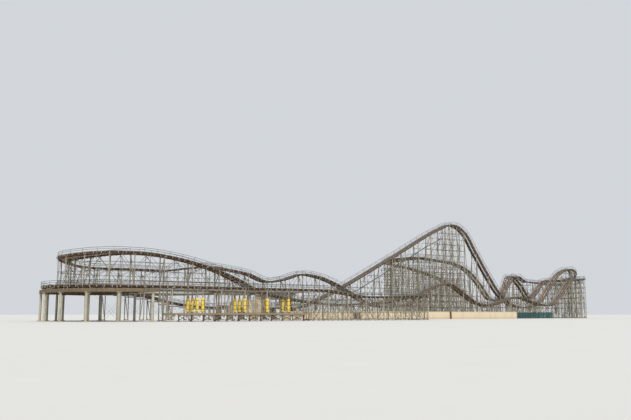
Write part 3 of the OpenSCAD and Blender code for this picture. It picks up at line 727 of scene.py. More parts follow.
def filled(low, high, axis=0):
    """Place of a unit bar that fills a box and runs along one of its axes."""
    low, high = np.array(low, dtype=float), np.array(high, dtype=float)
    start, end = (low + high) / 2, (low + high) / 2
    start[axis], end[axis] = low[axis], high[axis]
    size = high - low
    wide, deep = ((1, 2), (0, 2), (1, 0))[axis]
    return beams(start, end, size[wide], size[deep], (1, 0, 0) if axis == 2 else (0, 0, 1))


def crossbar(low, high):
    return filled(low, high, 1)


def post_in(low, high):
    return filled(low, high, 2)


def lengthwise(x0, x1, y, half, z0, z1):
    """Place of a bar along X whose middle stands at y."""
    return filled((x0, y - half, z0), (x1, y + half, z1))


def crosswise(x, half, y0, y1, z0, z1):
    """Place of a bar along Y whose middle stands at x."""
    return crossbar((x - half, y0, z0), (x + half, y1, z1))


def plate(x, y, half, z0, z1):
    """Place of a flat square bar about a point in plan."""
    return filled((x - half, y - half, z0), (x + half, y + half, z1))


def stake(x, y, half, z0, z1):
    """Place of a square bar that stands upright about a point in plan."""
    return post_in((x - half, y - half, z0), (x + half, y + half, z1))


def aside(middle, side, near, far):
    """Low and high y of what reaches from near to far on one side of a middle."""
    return sorted((middle + side * near, middle + side * far))


def bars(name, places, finish, slot=None, body="ride", replaces=(), unit=bar_unit, **shape):
    """One piece of bars, each a copy of the unit."""
    return stamp(name, unit(**shape), np.concatenate(places), finish, slot, body, replaces)


def steps_of(low, high, pitch):
    """Places from low to high about a pitch apart, both ends among them."""
    count = max(1, int(round((high - low) / pitch)))
    return np.linspace(low, high, count + 1)


def slats(low, high, pitch, gap=0.0015):
    """Edges of boards laid side by side from low to high."""
    edges = steps_of(low, high, pitch)
    return list(zip(edges[:-1] + gap / 2, edges[1:] - gap / 2))


# ---------------------------------------------------------------- operators


class Piece(bpy.types.Operator):
    """Base of the operators that add pieces."""

    bl_options = {"REGISTER", "UNDO"}

    def execute(self, context):
        bpy.ops.object.select_all(action="DESELECT")
        self.make(context.scene.coaster_track, context.scene.coaster_trestle)
        return {"FINISHED"}


class COASTER_OT_finishes(bpy.types.Operator):
    """Makes the finishes and gives the CAD nodes theirs"""

    bl_idname = "coaster.finishes"
    bl_label = "Finishes"

    def execute(self, context):
        make_finishes(context.scene.coaster_colours)
        return {"FINISHED"}


class COASTER_OT_rails(Piece):
    """Lays the laminated timber rails with their steel straps"""

    bl_idname = "coaster.rails"
    bl_label = "Rails"

    def make(self, sizes, _):
        half = sizes.rail_width / 2
        lip, strap, groove = 0.002, 0.0015, 0.001
        inner, outer = RAIL_OUT - half, RAIL_OUT + half
        layer = (sizes.rail_height - strap) / 3
        stack = [(inner, 0), (outer, 0), (outer, layer), (outer - groove, layer),
                 (outer - groove, layer + groove), (outer, layer + groove), (outer, 2 * layer),
                 (outer, 3 * layer), (inner - lip, 3 * layer), (inner - lip, 2 * layer), (inner, 2 * layer),
                 (inner, layer + groove), (inner + groove, layer + groove), (inner + groove, layer),
                 (inner, layer)]
        top = oblong(RAIL_OUT - lip / 2, 3 * layer, 2 * half - lip, strap)
        for run in RUNS:
            s0, s1 = track.reach(run)
            rails = sweep(f"rail_stacks_{run}", both(stack), s0, s1, "track_rail")
            settled(rails, replaces=[f"rails_{run}"])
            settled(sweep(f"rail_straps_{run}", both(top), s0, s1, "wheel_steel"))


class COASTER_OT_deck(Piece):
    """Lays the cross ties, the stringers under them and the walkway boards"""

    bl_idname = "coaster.deck"
    bl_label = "Ties, stringers and boards"

    def make(self, sizes, trestle):
        gap, thickness, sunk = 0.002, 0.004, 0.002
        outer_width, inner_width, inner_depth = 0.009, 0.008, 0.018
        overhang, tie_height, tie_middle, chamfer = 0.006, 0.0095, -0.0068, 0.0012
        boards = []
        for k in range(3):
            out = EDGE - (k + 0.5) * (sizes.board_width + gap)
            boards += both(oblong(out, -sunk, sizes.board_width, thickness))
        stringers = both(oblong(POST_OUT, -DECK - trestle.stringer, outer_width, trestle.stringer))
        stringers += both(oblong(RAIL_OUT, -DECK - inner_depth, inner_width, inner_depth))
        for run in RUNS:
            s0, s1 = track.reach(run)
            deck = sweep(f"walkway_boards_{run}", boards, s0, s1, "deck_timber")
            settled(deck, replaces=[f"deck_{run}"])
            # The stringers' dark timber is painted shade, the dark band under the deck
            beam = sweep(f"stringers_{run}", stringers, s0, s1, "stringer_timber")
            settled(beam, "track_rail", replaces=[f"bracing_{run}"])
            tie = block_unit((sizes.tie_width, 2 * (EDGE + overhang), tie_height), chamfer)
            places = track.placed(spaced(s0, s1, sizes.tie_pitch), 0, tie_middle)
            stamp(f"ties_{run}", tie, places, "track_rail")


class COASTER_OT_handrails(Piece):
    """Raises the handrails on their posts along both walkways"""

    bl_idname = "coaster.handrails"
    bl_label = "Handrails"

    def make(self, sizes, _):
        out, height, width = EDGE + 0.010, sizes.handrail_height, sizes.handrail_width
        top_depth, middle_depth, middle_at, toe_width, toe_depth = 0.009, 0.007, 0.52, 0.002, 0.013
        post, below = 0.007, 0.03
        lines = both(oblong(out, height - top_depth, width, top_depth))
        lines += both(oblong(out, height * middle_at, width, middle_depth))
        lines += both(oblong(out - 0.004, 0.001, toe_width, toe_depth))
        for run in RUNS:
            rails, posts = [], []
            for s0, s1 in open_stretches(run):
                rails.append(sweep(f"handrails_fine_{run}", lines, s0, s1, "handrail_steel"))
                ends = [end for end in (s0, s1) if end not in track.reach(run)]
                s = np.append(spaced(s0, s1, sizes.rail_post_pitch), ends)
                for side in (1, -1):
                    foot, head = track.point(s, side * out, -below), track.point(s, side * out, height)
                    posts.append(beams(foot, head, post, post, track.at(s)[1]))
            if rails:
                settled(joined(rails, f"handrails_fine_{run}"), replaces=[f"handrails_{run}"])
                bars(f"handrail_posts_{run}", posts, "handrail_steel")
                self.brackets(run, sizes.bracket_pitch)

    def brackets(self, run, pitch):
        """Stubs on both edges of the deck, which the handrail posts stand on."""
        s = spaced(*track.reach(run), pitch)
        out, low, high, width, depth = EDGE + 0.006, -0.038, 0.001, 0.007, 0.016
        stubs = []
        for side in (1, -1):
            foot, head = track.point(s, side * out, low), track.point(s, side * out, high)
            stubs.append(beams(foot, head, width, depth, track.at(s)[1]))
        bars(f"deck_brackets_{run}", stubs, "trestle_steel")


def carried_at(place):
    """Height of what carries the trestle at a place: the raised frame, the pier or the floor."""
    low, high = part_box("turn_frame")
    if low.x < place[0] < high.x:
        return high.z
    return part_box("pier_deck")[1].z if over("pier_deck", place) else 0.0


def over_pier(place):
    """Whether a place stands between the raised frame and the right end of the pier."""
    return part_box("turn_frame")[1].x < place[0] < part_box("pier_deck")[1].x


class Bent:
    """Where a bent's two posts stand, from a distance along the track."""

    GAP = 0.002  # between a cap and the deck over it
    DROP = 0.01  # how much lower a cap lies for each unit of bank
    CLEAR = 0.01  # between a cap and the bracing under it
    TIGHT = 0.5  # height over which a bent keeps clear of the track that passes below
    LEAST = 0.15  # height over the low level that leaves room for an inner bent

    def __init__(self, s, main):
        place, _, left, _ = (v[0] for v in track.at(s))
        self.place, self.main = place, main
        flat = np.array([left[0], left[1], 0])
        self.left = unit_vectors(flat)
        self.bank = left[2] / np.linalg.norm(flat)
        self.ahead = np.cross(self.left, (0, 0, 1))
        self.top = place[2] - DECK - self.GAP - abs(self.bank) * self.DROP
        self.ground = self.foot = carried_at(place)
        blocked = over("platform", place) or place[2] > self.TIGHT and track.crossed(place)
        self.clear = main or not blocked
        if over_pier(place):
            self.foot = LOW_LEVEL
            self.clear = self.clear and (main or self.top > LOW_LEVEL + self.LEAST)

    def post(self, side, z, out=0.0):
        return np.array([*(self.place + self.left * (side * POST_OUT + out))[:2], z])

    def head(self, side):
        return self.top + side * POST_OUT * self.bank - CAP


def ledgers_between(foot, top, lowest=0.03):
    """Heights of ledgers a tier apart, the lowest just above the foot."""
    heights = (foot + k * TIER for k in range(1, 20))
    return [foot + lowest] + [z for z in heights if z < top - 0.5 * TIER]


def bents_of(run):
    """The bents of a run in order: the frame's own and one in the middle of each bay."""
    row = []
    for i in track.bays_of(run):
        s, t = track.station(i), track.station(i + 1)
        row += [Bent(s, True), Bent((s + t) / 2, False)]
    return row + [Bent(track.station(track.bays_of(run)[-1] + 1), True)]


class COASTER_OT_inner_bents(Piece):
    """Stands a light bent in the middle of each bay"""

    bl_idname = "coaster.inner_bents"
    bl_label = "Inner bents"

    def make(self, _, trestle):
        for run in RUNS:
            posts, ties = [], []
            for bent in bents_of(run):
                if bent.clear and not bent.main:
                    posts += self.posts(bent, trestle.inner_post)
                if bent.clear and bent.top > bent.foot + TIER / 2:
                    ties += self.ties(bent)
            if posts:
                bars(f"inner_bents_{run}", posts, "trestle_steel")
            if ties:
                bars(f"inner_ties_{run}", ties, "bracing_steel", unit=angle_unit)

    def posts(self, bent, size):
        """Two posts and the cap across them."""
        members = [beams(bent.post(side, bent.foot), bent.post(side, bent.head(side)), size, size, bent.ahead)
                   for side in (1, -1)]
        reach, middle = EDGE + 0.012, bent.top - bent.place[2] - CAP / 2
        cap = [bent.place + bent.left * out + (0, 0, middle + out * bent.bank) for out in (-reach, reach)]
        return members + [beams(*cap, size, CAP)]

    def ties(self, bent):
        """Ledgers across a bent, and a zigzag of diagonals where the frame has none."""
        ledger, diagonal = 0.009, 0.008
        rows = ledgers_between(bent.foot, bent.top)
        members = []
        for k, z in enumerate(rows):
            members.append(beams(bent.post(-1, z), bent.post(1, z), THIN, ledger))
            if not bent.main:
                turn = 1 if k % 2 else -1
                above = rows[k + 1] if k + 1 < len(rows) else bent.top - CAP - Bent.CLEAR
                members.append(beams(bent.post(-turn, z), bent.post(turn, above), THIN, diagonal))
        return members


class COASTER_OT_bracing(Piece):
    """Ties the bents to each other with ledgers and diagonals along both sides"""

    bl_idname = "coaster.bracing"
    bl_label = "Bracing"

    LEAST = 0.06  # the lowest rise that a diagonal is worth

    def make(self, _, trestle):
        for run in RUNS:
            members, row = [], bents_of(run)
            for n, (a, b) in enumerate(zip(row, row[1:])):
                if track.crossed((a.place + b.place) / 2, 0.24) and a.place[2] > Bent.TIGHT:
                    continue
                foot, low = max(a.foot, b.foot), min(a.top, b.top)
                if foot == LOW_LEVEL:
                    members += self.over_opening(*row[n:n + 3])
                if low >= foot + TIER / 2:
                    members += self.sides(a, b, ledgers_between(foot, low), n, trestle.angle)
            bars(f"bracing_fine_{run}", members, "bracing_steel", unit=angle_unit)

    def sides(self, a, b, rows, n, leg):
        """Ledgers outside the posts of both sides, and a diagonal inside them in each second tier."""
        members = []
        tall = rows[::2]
        for side in (1, -1):
            face = side * (POST / 2 + THIN)
            for z in rows:
                members.append(beams(a.post(side, z, face), b.post(side, z, face), THIN, leg * 0.8))
            for k, z in enumerate(tall):
                lo, hi = (a, b) if (n + k) % 2 else (b, a)
                end = tall[k + 1] if k + 1 < len(tall) else hi.head(side) - Bent.CLEAR
                if end - z > self.LEAST:
                    members.append(beams(lo.post(side, z, -face), hi.post(side, end, -face), THIN, leg))
        return members

    def over_opening(self, a, b, beyond=None):
        """The girders that carry the inner bents over the pier, and one rod across each opening."""
        width, depth, rod_width = 0.009, 0.024, 0.003
        members = []
        for side in (1, -1):
            level = min(LOW_LEVEL, a.head(side) - Bent.CLEAR, b.head(side) - Bent.CLEAR)
            middle = level - depth / 2
            members.append(beams(a.post(side, middle), b.post(side, middle), width, depth))
            if a.main and beyond:
                foot, head = a.post(side, a.ground + 0.02), beyond.post(side, level - 0.02)
                members.append(beams(foot, head, rod_width, THIN))
        return members


class COASTER_OT_footings(Piece):
    """Sets each post that stands on the ground on a concrete footing"""

    bl_idname = "coaster.footings"
    bl_label = "Footings"

    def make(self, _, trestle):
        size, rise, chamfer = trestle.footing, 0.012, 0.003
        places = []
        for run in RUNS:
            for bent in bents_of(run)[:-1]:
                if bent.ground > 0 or not bent.clear or not bent.main and bent.foot > 0:
                    continue
                turn = Matrix((bent.ahead, bent.left, (0, 0, 1))).transposed().to_4x4()
                places += [Matrix.Translation(bent.post(side, rise / 2)) @ turn for side in (1, -1)]
        stamp("footings", block_unit((size, size, rise), chamfer), places, "concrete")


class COASTER_OT_chain(Piece):
    """Lays the lift chain in its trough beside the rack"""

    bl_idname = "coaster.chain"
    bl_label = "Lift chain"

    def make(self, sizes, _):
        s0, s1 = track.reach("lift")
        out, half, wall, floor, height = 0.022, 0.009, 0.002, 0.0015, 0.006
        outline = [(-half, 0), (half, 0), (half, height), (half - wall, height), (half - wall, floor),
                   (wall - half, floor), (wall - half, height), (-half, height)]
        trough = [(out + x, up) for x, up in outline]
        settled(sweep("chain_trough", [trough], s0, s1, "dark_steel"))
        bpy.ops.mesh.primitive_torus_add(major_segments=8, minor_segments=5,
                                         major_radius=0.5, minor_radius=0.16)
        link = added("link", scale=(sizes.link, 0.009, 0.008))
        places = track.placed(spaced(s0, s1, sizes.link * 0.75), out, height)
        turned = places[1::2]
        turned[:, :3, [1, 2]] = np.stack([turned[:, :3, 2], -turned[:, :3, 1]], axis=2)
        stamp("lift_chain", link, places, "dark_steel")


class COASTER_OT_turn_floor(Piece):
    """Boards the raised frame of the end turns and trims its rim"""

    bl_idname = "coaster.turn_floor"
    bl_label = "Raised frame's floor"

    def make(self, *_):
        low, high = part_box("turn_frame")
        half, middle, top = (high.y - low.y) / 2, (high.y + low.y) / 2, high.z
        cx = (low.x ** 2 - high.x ** 2 - half ** 2) / (2 * (low.x - high.x))
        radius = cx - low.x
        board, thickness, inset = 0.028, 0.003, 0.012
        boards = []
        for y0, y1 in slats(low.y + 0.02, high.y - 0.02, board):
            far = max(abs(y0 - middle), abs(y1 - middle))
            reach = math.sqrt(max(0.01, (radius - inset) ** 2 - far ** 2))
            boards.append(filled((cx - reach, y0, top), (high.x - 0.005, y1, top + thickness)))
        bars("turn_floor_boards", boards, "deck_timber")
        self.rim(cx, middle, top, radius, math.asin(half / radius))
        caps = []
        for x, y in column_spots():
            caps.append(plate(x, y, 0.045, low.z - 0.012, low.z - 0.001))
            caps.append(plate(x, y, 0.055, 0.0, 0.014))
        bars("column_plates", caps, "column_paint")

    def rim(self, cx, middle, top, radius, reach):
        """A band spun about the frame's round end, with stiffeners on it."""
        thickness, depth, drop = 0.006, 0.05, 0.030
        bpy.ops.mesh.primitive_plane_add(size=1)
        rim = added("turn_frame_rim", "frame_steel", (thickness, depth, 1))
        start = Matrix.Translation((cx, middle, top - drop)) @ Matrix.Rotation(-reach, 4, "Z")
        out = Matrix.Translation((-radius - 0.001, 0, 0))
        rim.data.transform(start @ out @ Matrix.Rotation(math.pi / 2, 4, "X"))
        shaped(rim, "FACE", lambda f: True, bpy.ops.mesh.spin, steps=72, angle=2 * reach,
               center=(cx, middle, 0), axis=(0, 0, 1))
        settled(merged(rim, outwards=True))
        studs = []
        for angle in np.linspace(math.pi - reach, math.pi + reach, 61):
            out = np.array([math.cos(angle), math.sin(angle), 0])
            x, y, _ = (cx, middle, 0) + out * (radius + 0.004)
            studs.append(beams((x, y, top - 0.068), (x, y, top - 0.004), 0.008, 0.006, out))
        bars("turn_frame_stiffeners", studs, "frame_steel")


def column_spots(width=0.06):
    """Middle of each thick column in plan, from the corners of the CAD node."""
    corners = corners_of("turn_columns")[:, :2]
    spots = []
    while len(corners):
        near = np.linalg.norm(corners - corners[0], axis=1) < width
        spots.append((corners[near].min(axis=0) + corners[near].max(axis=0)) / 2)
        corners = corners[~near]
    return spots


class COASTER_OT_pier(Piece):
    """Planks the pier, braces its piles and builds its steps"""

    bl_idname = "coaster.pier"
    bl_label = "Pier"

    PILE = 0.015  # half the side of a pile
    PITCH = 0.3  # distance between two piles

    def make(self, *_):
        low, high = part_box("pier_deck")
        edge, plank, thickness = 0.004, 0.024, 0.003
        planks = [crossbar((x0, low.y - edge, high.z), (x1, high.y + edge, high.z + thickness))
                  for x0, x1 in slats(low.x, high.x, plank)]
        bars("pier_planks", planks, "deck_timber")
        under = [lengthwise(low.x, high.x, y, 0.007, low.z - 0.006, high.z - 0.004)
                 for y in (low.y - edge, high.y + edge)]
        first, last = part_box("piles")
        xs = steps_of(first.x + self.PILE, last.x - self.PILE, self.PITCH)
        front, back = first.y + self.PILE, last.y - self.PILE
        for x in xs:
            under.append(crosswise(x, 0.012, low.y + 0.01, high.y - 0.01, low.z - 0.022, low.z))
            for out, start, end in ((0.018, front, back), (-0.018, back, front)):
                under.append(beams((x + out, start, 0.02), (x + out, end, low.z - 0.03), 0.005, 0.012))
        bars("pier_beams", under, "deck_timber")
        collars = [plate(x, y, 0.02, 0.0, 0.012) for x in xs for y in (front, back)]
        bars("pile_collars", collars, "concrete", chamfer=0.25)
        self.steps(9)

    def steps(self, count):
        low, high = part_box("pier_steps")
        going, rise = (high.x - low.x) / count, high.z / count
        half, thickness, nosing = 0.003, 0.004, 0.004
        parts = []
        for y in (low.y + half, high.y - half):
            for lift, depth in ((-0.006, 0.016), (0.09, 0.005), (0.05, 0.004)):
                foot, head = (low.x, y, max(lift, 0) + 0.009), (high.x, y, high.z + lift)
                parts.append(beams(foot, head, 2 * half, depth))
            for k in (0, count // 2, count - 1):
                z = (k + 0.5) * rise
                parts.append(stake(low.x + (k + 0.5) * going, y, half, z - 0.01, z + 0.095))
        for k in range(count):
            x, z = low.x + k * going, (k + 1) * rise - 0.001
            parts.append(filled((x, low.y + 0.002, z - thickness), (x + going + nosing, high.y - 0.002, z)))
        for y in (low.y + 0.008, high.y - 0.008):
            parts.append(post_in((high.x - 0.02, y - 0.004, 0), (high.x - 0.012, y + 0.004, high.z - 0.02)))
        bars("steps_fine", parts, "timber_wall", "handrail_steel", replaces=["pier_steps"])


class COASTER_OT_station(Piece):
    """Boards the platforms and trims the station's roof, posts and booth"""

    bl_idname = "coaster.station"
    bl_label = "Station"

    def make(self, *_):
        low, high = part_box("platform")
        middle, half, top = (low.y + high.y) / 2, (high.y - low.y) / 2, high.z
        inner, kerb, board = EDGE + 0.0003, 0.011, 0.022
        boards, edges = [], []
        for side in (1, -1):
            for near, far in slats(inner + 0.012, half, board):
                y0, y1 = aside(middle, side, near, far)
                boards.append(filled((low.x, y0, top), (high.x, y1, top + 0.0025)))
            for near, far, drop in ((inner, inner + kerb, 0), (half, half + 0.005, 0.045)):
                y0, y1 = aside(middle, side, near, far)
                edges.append(filled((low.x, y0, top - drop), (high.x, y1, top + 0.004)))
        bars("platform_boards", boards, "deck_timber", "timber_wall")
        bars("platform_edges", edges, "white_paint")
        self.gates(low, high, middle, inner)
        self.roof()
        self.booth()

    def gates(self, low, high, middle, inner):
        """Queue gates along the track's edge and a railing along the back of each platform."""
        gate, gap, thin, half_post = 0.1, 0.03, 0.003, 0.002
        gate_height, railing_height, railing_pitch = 0.094, 0.107, 0.11
        parts, top = [], high.z
        for side in (1, -1):
            y = middle + side * (inner + 0.035)
            for x0, x1 in slats(low.x + gate, high.x - gate, gate, gap):
                for z in (top + 0.03, top + 0.06, top + 0.09):
                    parts.append(lengthwise(x0, x1, y, thin / 2, z, z + thin))
                parts += [stake(x, y, half_post, top, top + gate_height) for x in (x0, x1)]
            y = middle + side * ((high.y - low.y) / 2 - 0.012)
            parts += [lengthwise(low.x, high.x, y, 0.002, z, z + 0.004) for z in (top + 0.05, top + 0.105)]
            parts += [stake(x, y, half_post, top, top + railing_height)
                      for x in steps_of(low.x + 0.003, high.x - 0.003, railing_pitch)]
        bars("platform_railings", parts, "handrail_steel")

    def roof(self):
        """Edge trim and ribs of the roof, and the joists, braces and post feet under it."""
        low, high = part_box("station_roof")
        proud, lip, margin, rib_pitch = 0.004, 0.003, 0.012, 0.055
        trim, joists = [], []
        for y in (low.y, high.y):
            trim.append(lengthwise(low.x - proud, high.x + proud, y, proud, high.z - 0.006, high.z + lip))
            trim.append(lengthwise(low.x - lip, high.x + lip, y, lip, low.z + 0.004, low.z + 0.010))
        for x in (low.x, high.x):
            trim.append(crosswise(x, proud, low.y, high.y, high.z - 0.006, high.z + lip))
        ribs = [crosswise(x, 0.002, low.y + margin, high.y - margin, low.z + 0.020, low.z + 0.026)
                for x in steps_of(low.x + 0.03, high.x - 0.03, rib_pitch)]
        near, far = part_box("station_posts")
        half, depth, brace, reach = 0.014, 0.020, 0.008, 0.075
        first, last, span = near.x + half, far.x - half, far.x - near.x
        for x in steps_of(first, last, span / 8):
            joists.append(crosswise(x, 0.006, low.y + 0.01, high.y - 0.01, low.z - depth, low.z))
        for y in (near.y + half, far.y - half):
            joists.append(lengthwise(low.x + 0.01, high.x - 0.01, y, 0.008, low.z - 2 * depth, low.z - depth))
            for x in steps_of(first, last, span / 4):
                for out in (reach, -reach):
                    foot, head = (x, y, low.z - 0.115), (x + out, y, low.z - 0.035)
                    joists.append(beams(foot, head, brace, brace))
                joists.append(plate(x, y, 0.022, near.z + 0.001, near.z + 0.018))
        # The trim's dark timber is painted shadow, the dark band under the roof's white edge
        bars("roof_trim", trim, "dark_timber", "white_paint")
        bars("roof_ribs", ribs, "white_paint")
        bars("roof_timbers", joists, "timber_wall")

    def booth(self):
        """Window frames and glass of the booth, and battens on the panels beside it."""
        low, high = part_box("station_booth")
        width, sill, head, mullion_pitch, half_bar, margin = 0.32, 0.508, 0.670, 0.068, 0.0035, 0.024
        x0, x1, front, back = high.x - width, high.x, low.y + 0.090, high.y
        frames = []
        for y in (front, back):
            for x in steps_of(x0 + margin, x1 - margin, mullion_pitch):
                frames.append(post_in((x - half_bar, y - 0.005, sill), (x + half_bar, y + 0.005, head)))
            for z in (sill, head):
                frames.append(lengthwise(x0 + 0.02, x1 - 0.02, y, 0.006, z - 0.004, z + 0.004))
        pane = filled((x0 + margin, front + 0.004, sill), (x1 - margin, front + 0.006, head))
        left, right, step_at, low_panel, tall_panel, batten_pitch = -5.4, -4.88, -5.15, 0.56, 0.755, 0.05
        battens = []
        for x in steps_of(left + 0.006, right - 0.006, batten_pitch):
            tall = low_panel if x < step_at else tall_panel
            battens.append(post_in((x - 0.003, low.y - 0.004, 0.004), (x + 0.003, low.y, tall)))
        bars("booth_frames", frames, "white_paint")
        bars("booth_panes", [pane], "glass")
        bars("panel_battens", battens, "tan_panel")


class COASTER_OT_wall(Piece):
    """Caps and battens the long wall, with its gate and dark post, and pickets the fence"""

    bl_idname = "coaster.wall"
    bl_label = "Wall and fence"

    BATTEN_PITCH = 0.24
    END_POST = 2.19, 2.25  # left and right side of the dark post
    GATE = -1.935, -1.715  # middles of the two gate posts
    GATE_BOARD = 0.022
    FENCE_START = 5.67  # left end of a second stretch of fence, which stands a little in front
    FENCE_PITCH = 0.16
    PICKET = 0.018

    def make(self, *_):
        low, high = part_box("screen_wall")
        face = low.y
        trim = [filled((low.x - 0.002, face - 0.008, high.z), (high.x, high.y + 0.004, high.z + 0.007)),
                filled((low.x, face - 0.004, 0.0), (high.x, face, 0.020)),
                filled((low.x, face - 0.003, 0.105), (high.x, face, 0.113))]
        for x in steps_of(low.x + 0.01, high.x - 0.01, self.BATTEN_PITCH):
            trim.append(post_in((x - 0.007, face - 0.006, 0.0), (x + 0.007, face, high.z)))
        bars("wall_trim", trim, "tan_panel")
        left, right = self.END_POST
        dark = [post_in((left, face - 0.035, 0.0), (right, face - 0.006, 0.245))]
        for x in self.GATE:
            dark.append(post_in((x - 0.012, face - 0.030, 0.0), (x + 0.012, face - 0.006, 0.215)))
        for x0, x1 in slats(self.GATE[0] + 0.015, self.GATE[1] - 0.015, self.GATE_BOARD):
            dark.append(post_in((x0, face - 0.022, 0.012), (x1, face - 0.014, 0.200)))
        bars("wall_gate", dark, "dark_timber", "timber_wall")
        self.fence()

    def fence(self):
        """Posts with caps, pickets and three rails, along both stretches."""
        low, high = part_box("fence")
        top, half, depth, parts = high.z, 0.007, 0.018, []
        for x0, x1, y in ((low.x, high.x, low.y), (self.FENCE_START, low.x - 0.004, low.y - 0.024)):
            for x in steps_of(x0 + half, x1 - half, self.FENCE_PITCH):
                parts.append(post_in((x - half, y, 0.0), (x + half, y + depth, top)))
                parts.append(filled((x - 0.010, y - 0.002, top), (x + 0.010, y + 0.020, top + 0.006)))
            for a, b in slats(x0, x1, self.PICKET, 0.006):
                parts.append(post_in((a, y + 0.008, 0.012), (b, y + 0.012, top - 0.012)))
            for z in (0.03, 0.12, 0.205):
                parts.append(filled((x0, y + 0.012, z - 0.006), (x1, y + depth, z + 0.006)))
        bars("fence_fine", parts, "fence_paint", replaces=["fence"])


class COASTER_OT_pads(Piece):
    """Wraps the posts on the pier in yellow pads"""

    bl_idname = "coaster.pads"
    bl_label = "Post pads"

    # Padded posts as the number of the bent, from the left, its side (0 front, 1 back) and how far to
    # the right of the bent an extra post stands, or 0 for the bent's own
    PADDED = ((1, 0, 0.0), (1, 1, 0.0), (1, 1, -0.11), (1, 0, 0.13), (3, 0, 0.0), (3, 1, 0.0), (3, 1, -0.12),
              (4, 0, 0.0), (5, 0, 0.0), (5, 1, 0.0))
    RADIUS = 0.031
    STRAPS = 0.06, 0.15, 0.25  # heights of the straps over the pad's foot
    STRAP = 0.007  # width of a strap

    def make(self, *_):
        low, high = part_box("post_pads")
        pad = self.pad(high.z - low.z + 0.01)
        front = [bent for bent in bents_of("brake") if bent.main and bent.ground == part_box("pier_deck")[1].z]
        front.sort(key=lambda bent: bent.place[0])
        straps, posts = [], []
        for n, (number, back, right) in enumerate(self.PADDED):
            bent = front[number]
            place = sorted((bent.post(side, low.z) for side in (1, -1)), key=lambda post: post[1])[back]
            place = place + bent.ahead * math.copysign(right, right * bent.ahead[0])
            x, y, _ = place
            if right:
                posts.append(beams((x, y, bent.ground), (x, y, LOW_LEVEL - 0.02), POST, POST, bent.ahead))
            copy = copy_at(pad, f"post_pad_{n + 1}", Matrix.Translation(place))
            settled(copy, replaces=["post_pads"])
            for z in self.STRAPS:
                straps.append(plate(x, y, self.RADIUS + 0.0015, low.z + z, low.z + z + self.STRAP))
        bpy.data.objects.remove(pad)
        bars("pad_straps", straps, "lap_bar", chamfer=0.2)
        bars("pad_posts", posts, "trestle_steel")

    def pad(self, height):
        """A stuffed sleeve: squarish in plan, pulled in at its straps and rounded at both ends."""
        bpy.ops.mesh.primitive_cylinder_add(vertices=32, radius=self.RADIUS, depth=height,
                                            location=(0, 0, height / 2))
        pad = added("pad", "yellow_pad")
        shaped(pad, "EDGE", lambda e: runs_along(e, 2), bpy.ops.mesh.subdivide, number_cuts=26)
        for v in pad.data.vertices:
            x, y, z = v.co
            angle = math.atan2(y, x)
            square = 1 / (abs(math.cos(angle)) ** 4 + abs(math.sin(angle)) ** 4) ** 0.25
            pinch = max(math.exp(-((z - strap - self.STRAP / 2) / 0.008) ** 2) for strap in self.STRAPS)
            end = min(z, height - z)
            rounding = 1 - 0.35 * math.exp(-end / 0.004)
            fold = 1 + 0.012 * math.sin(5 * angle + 60 * z)
            k = min(1.13, square) * (1 - 0.04 * pinch) * rounding * fold * 0.95
            if math.hypot(x, y) > 1e-5:
                v.co.x, v.co.y = x * k, y * k
        return softened(pad)


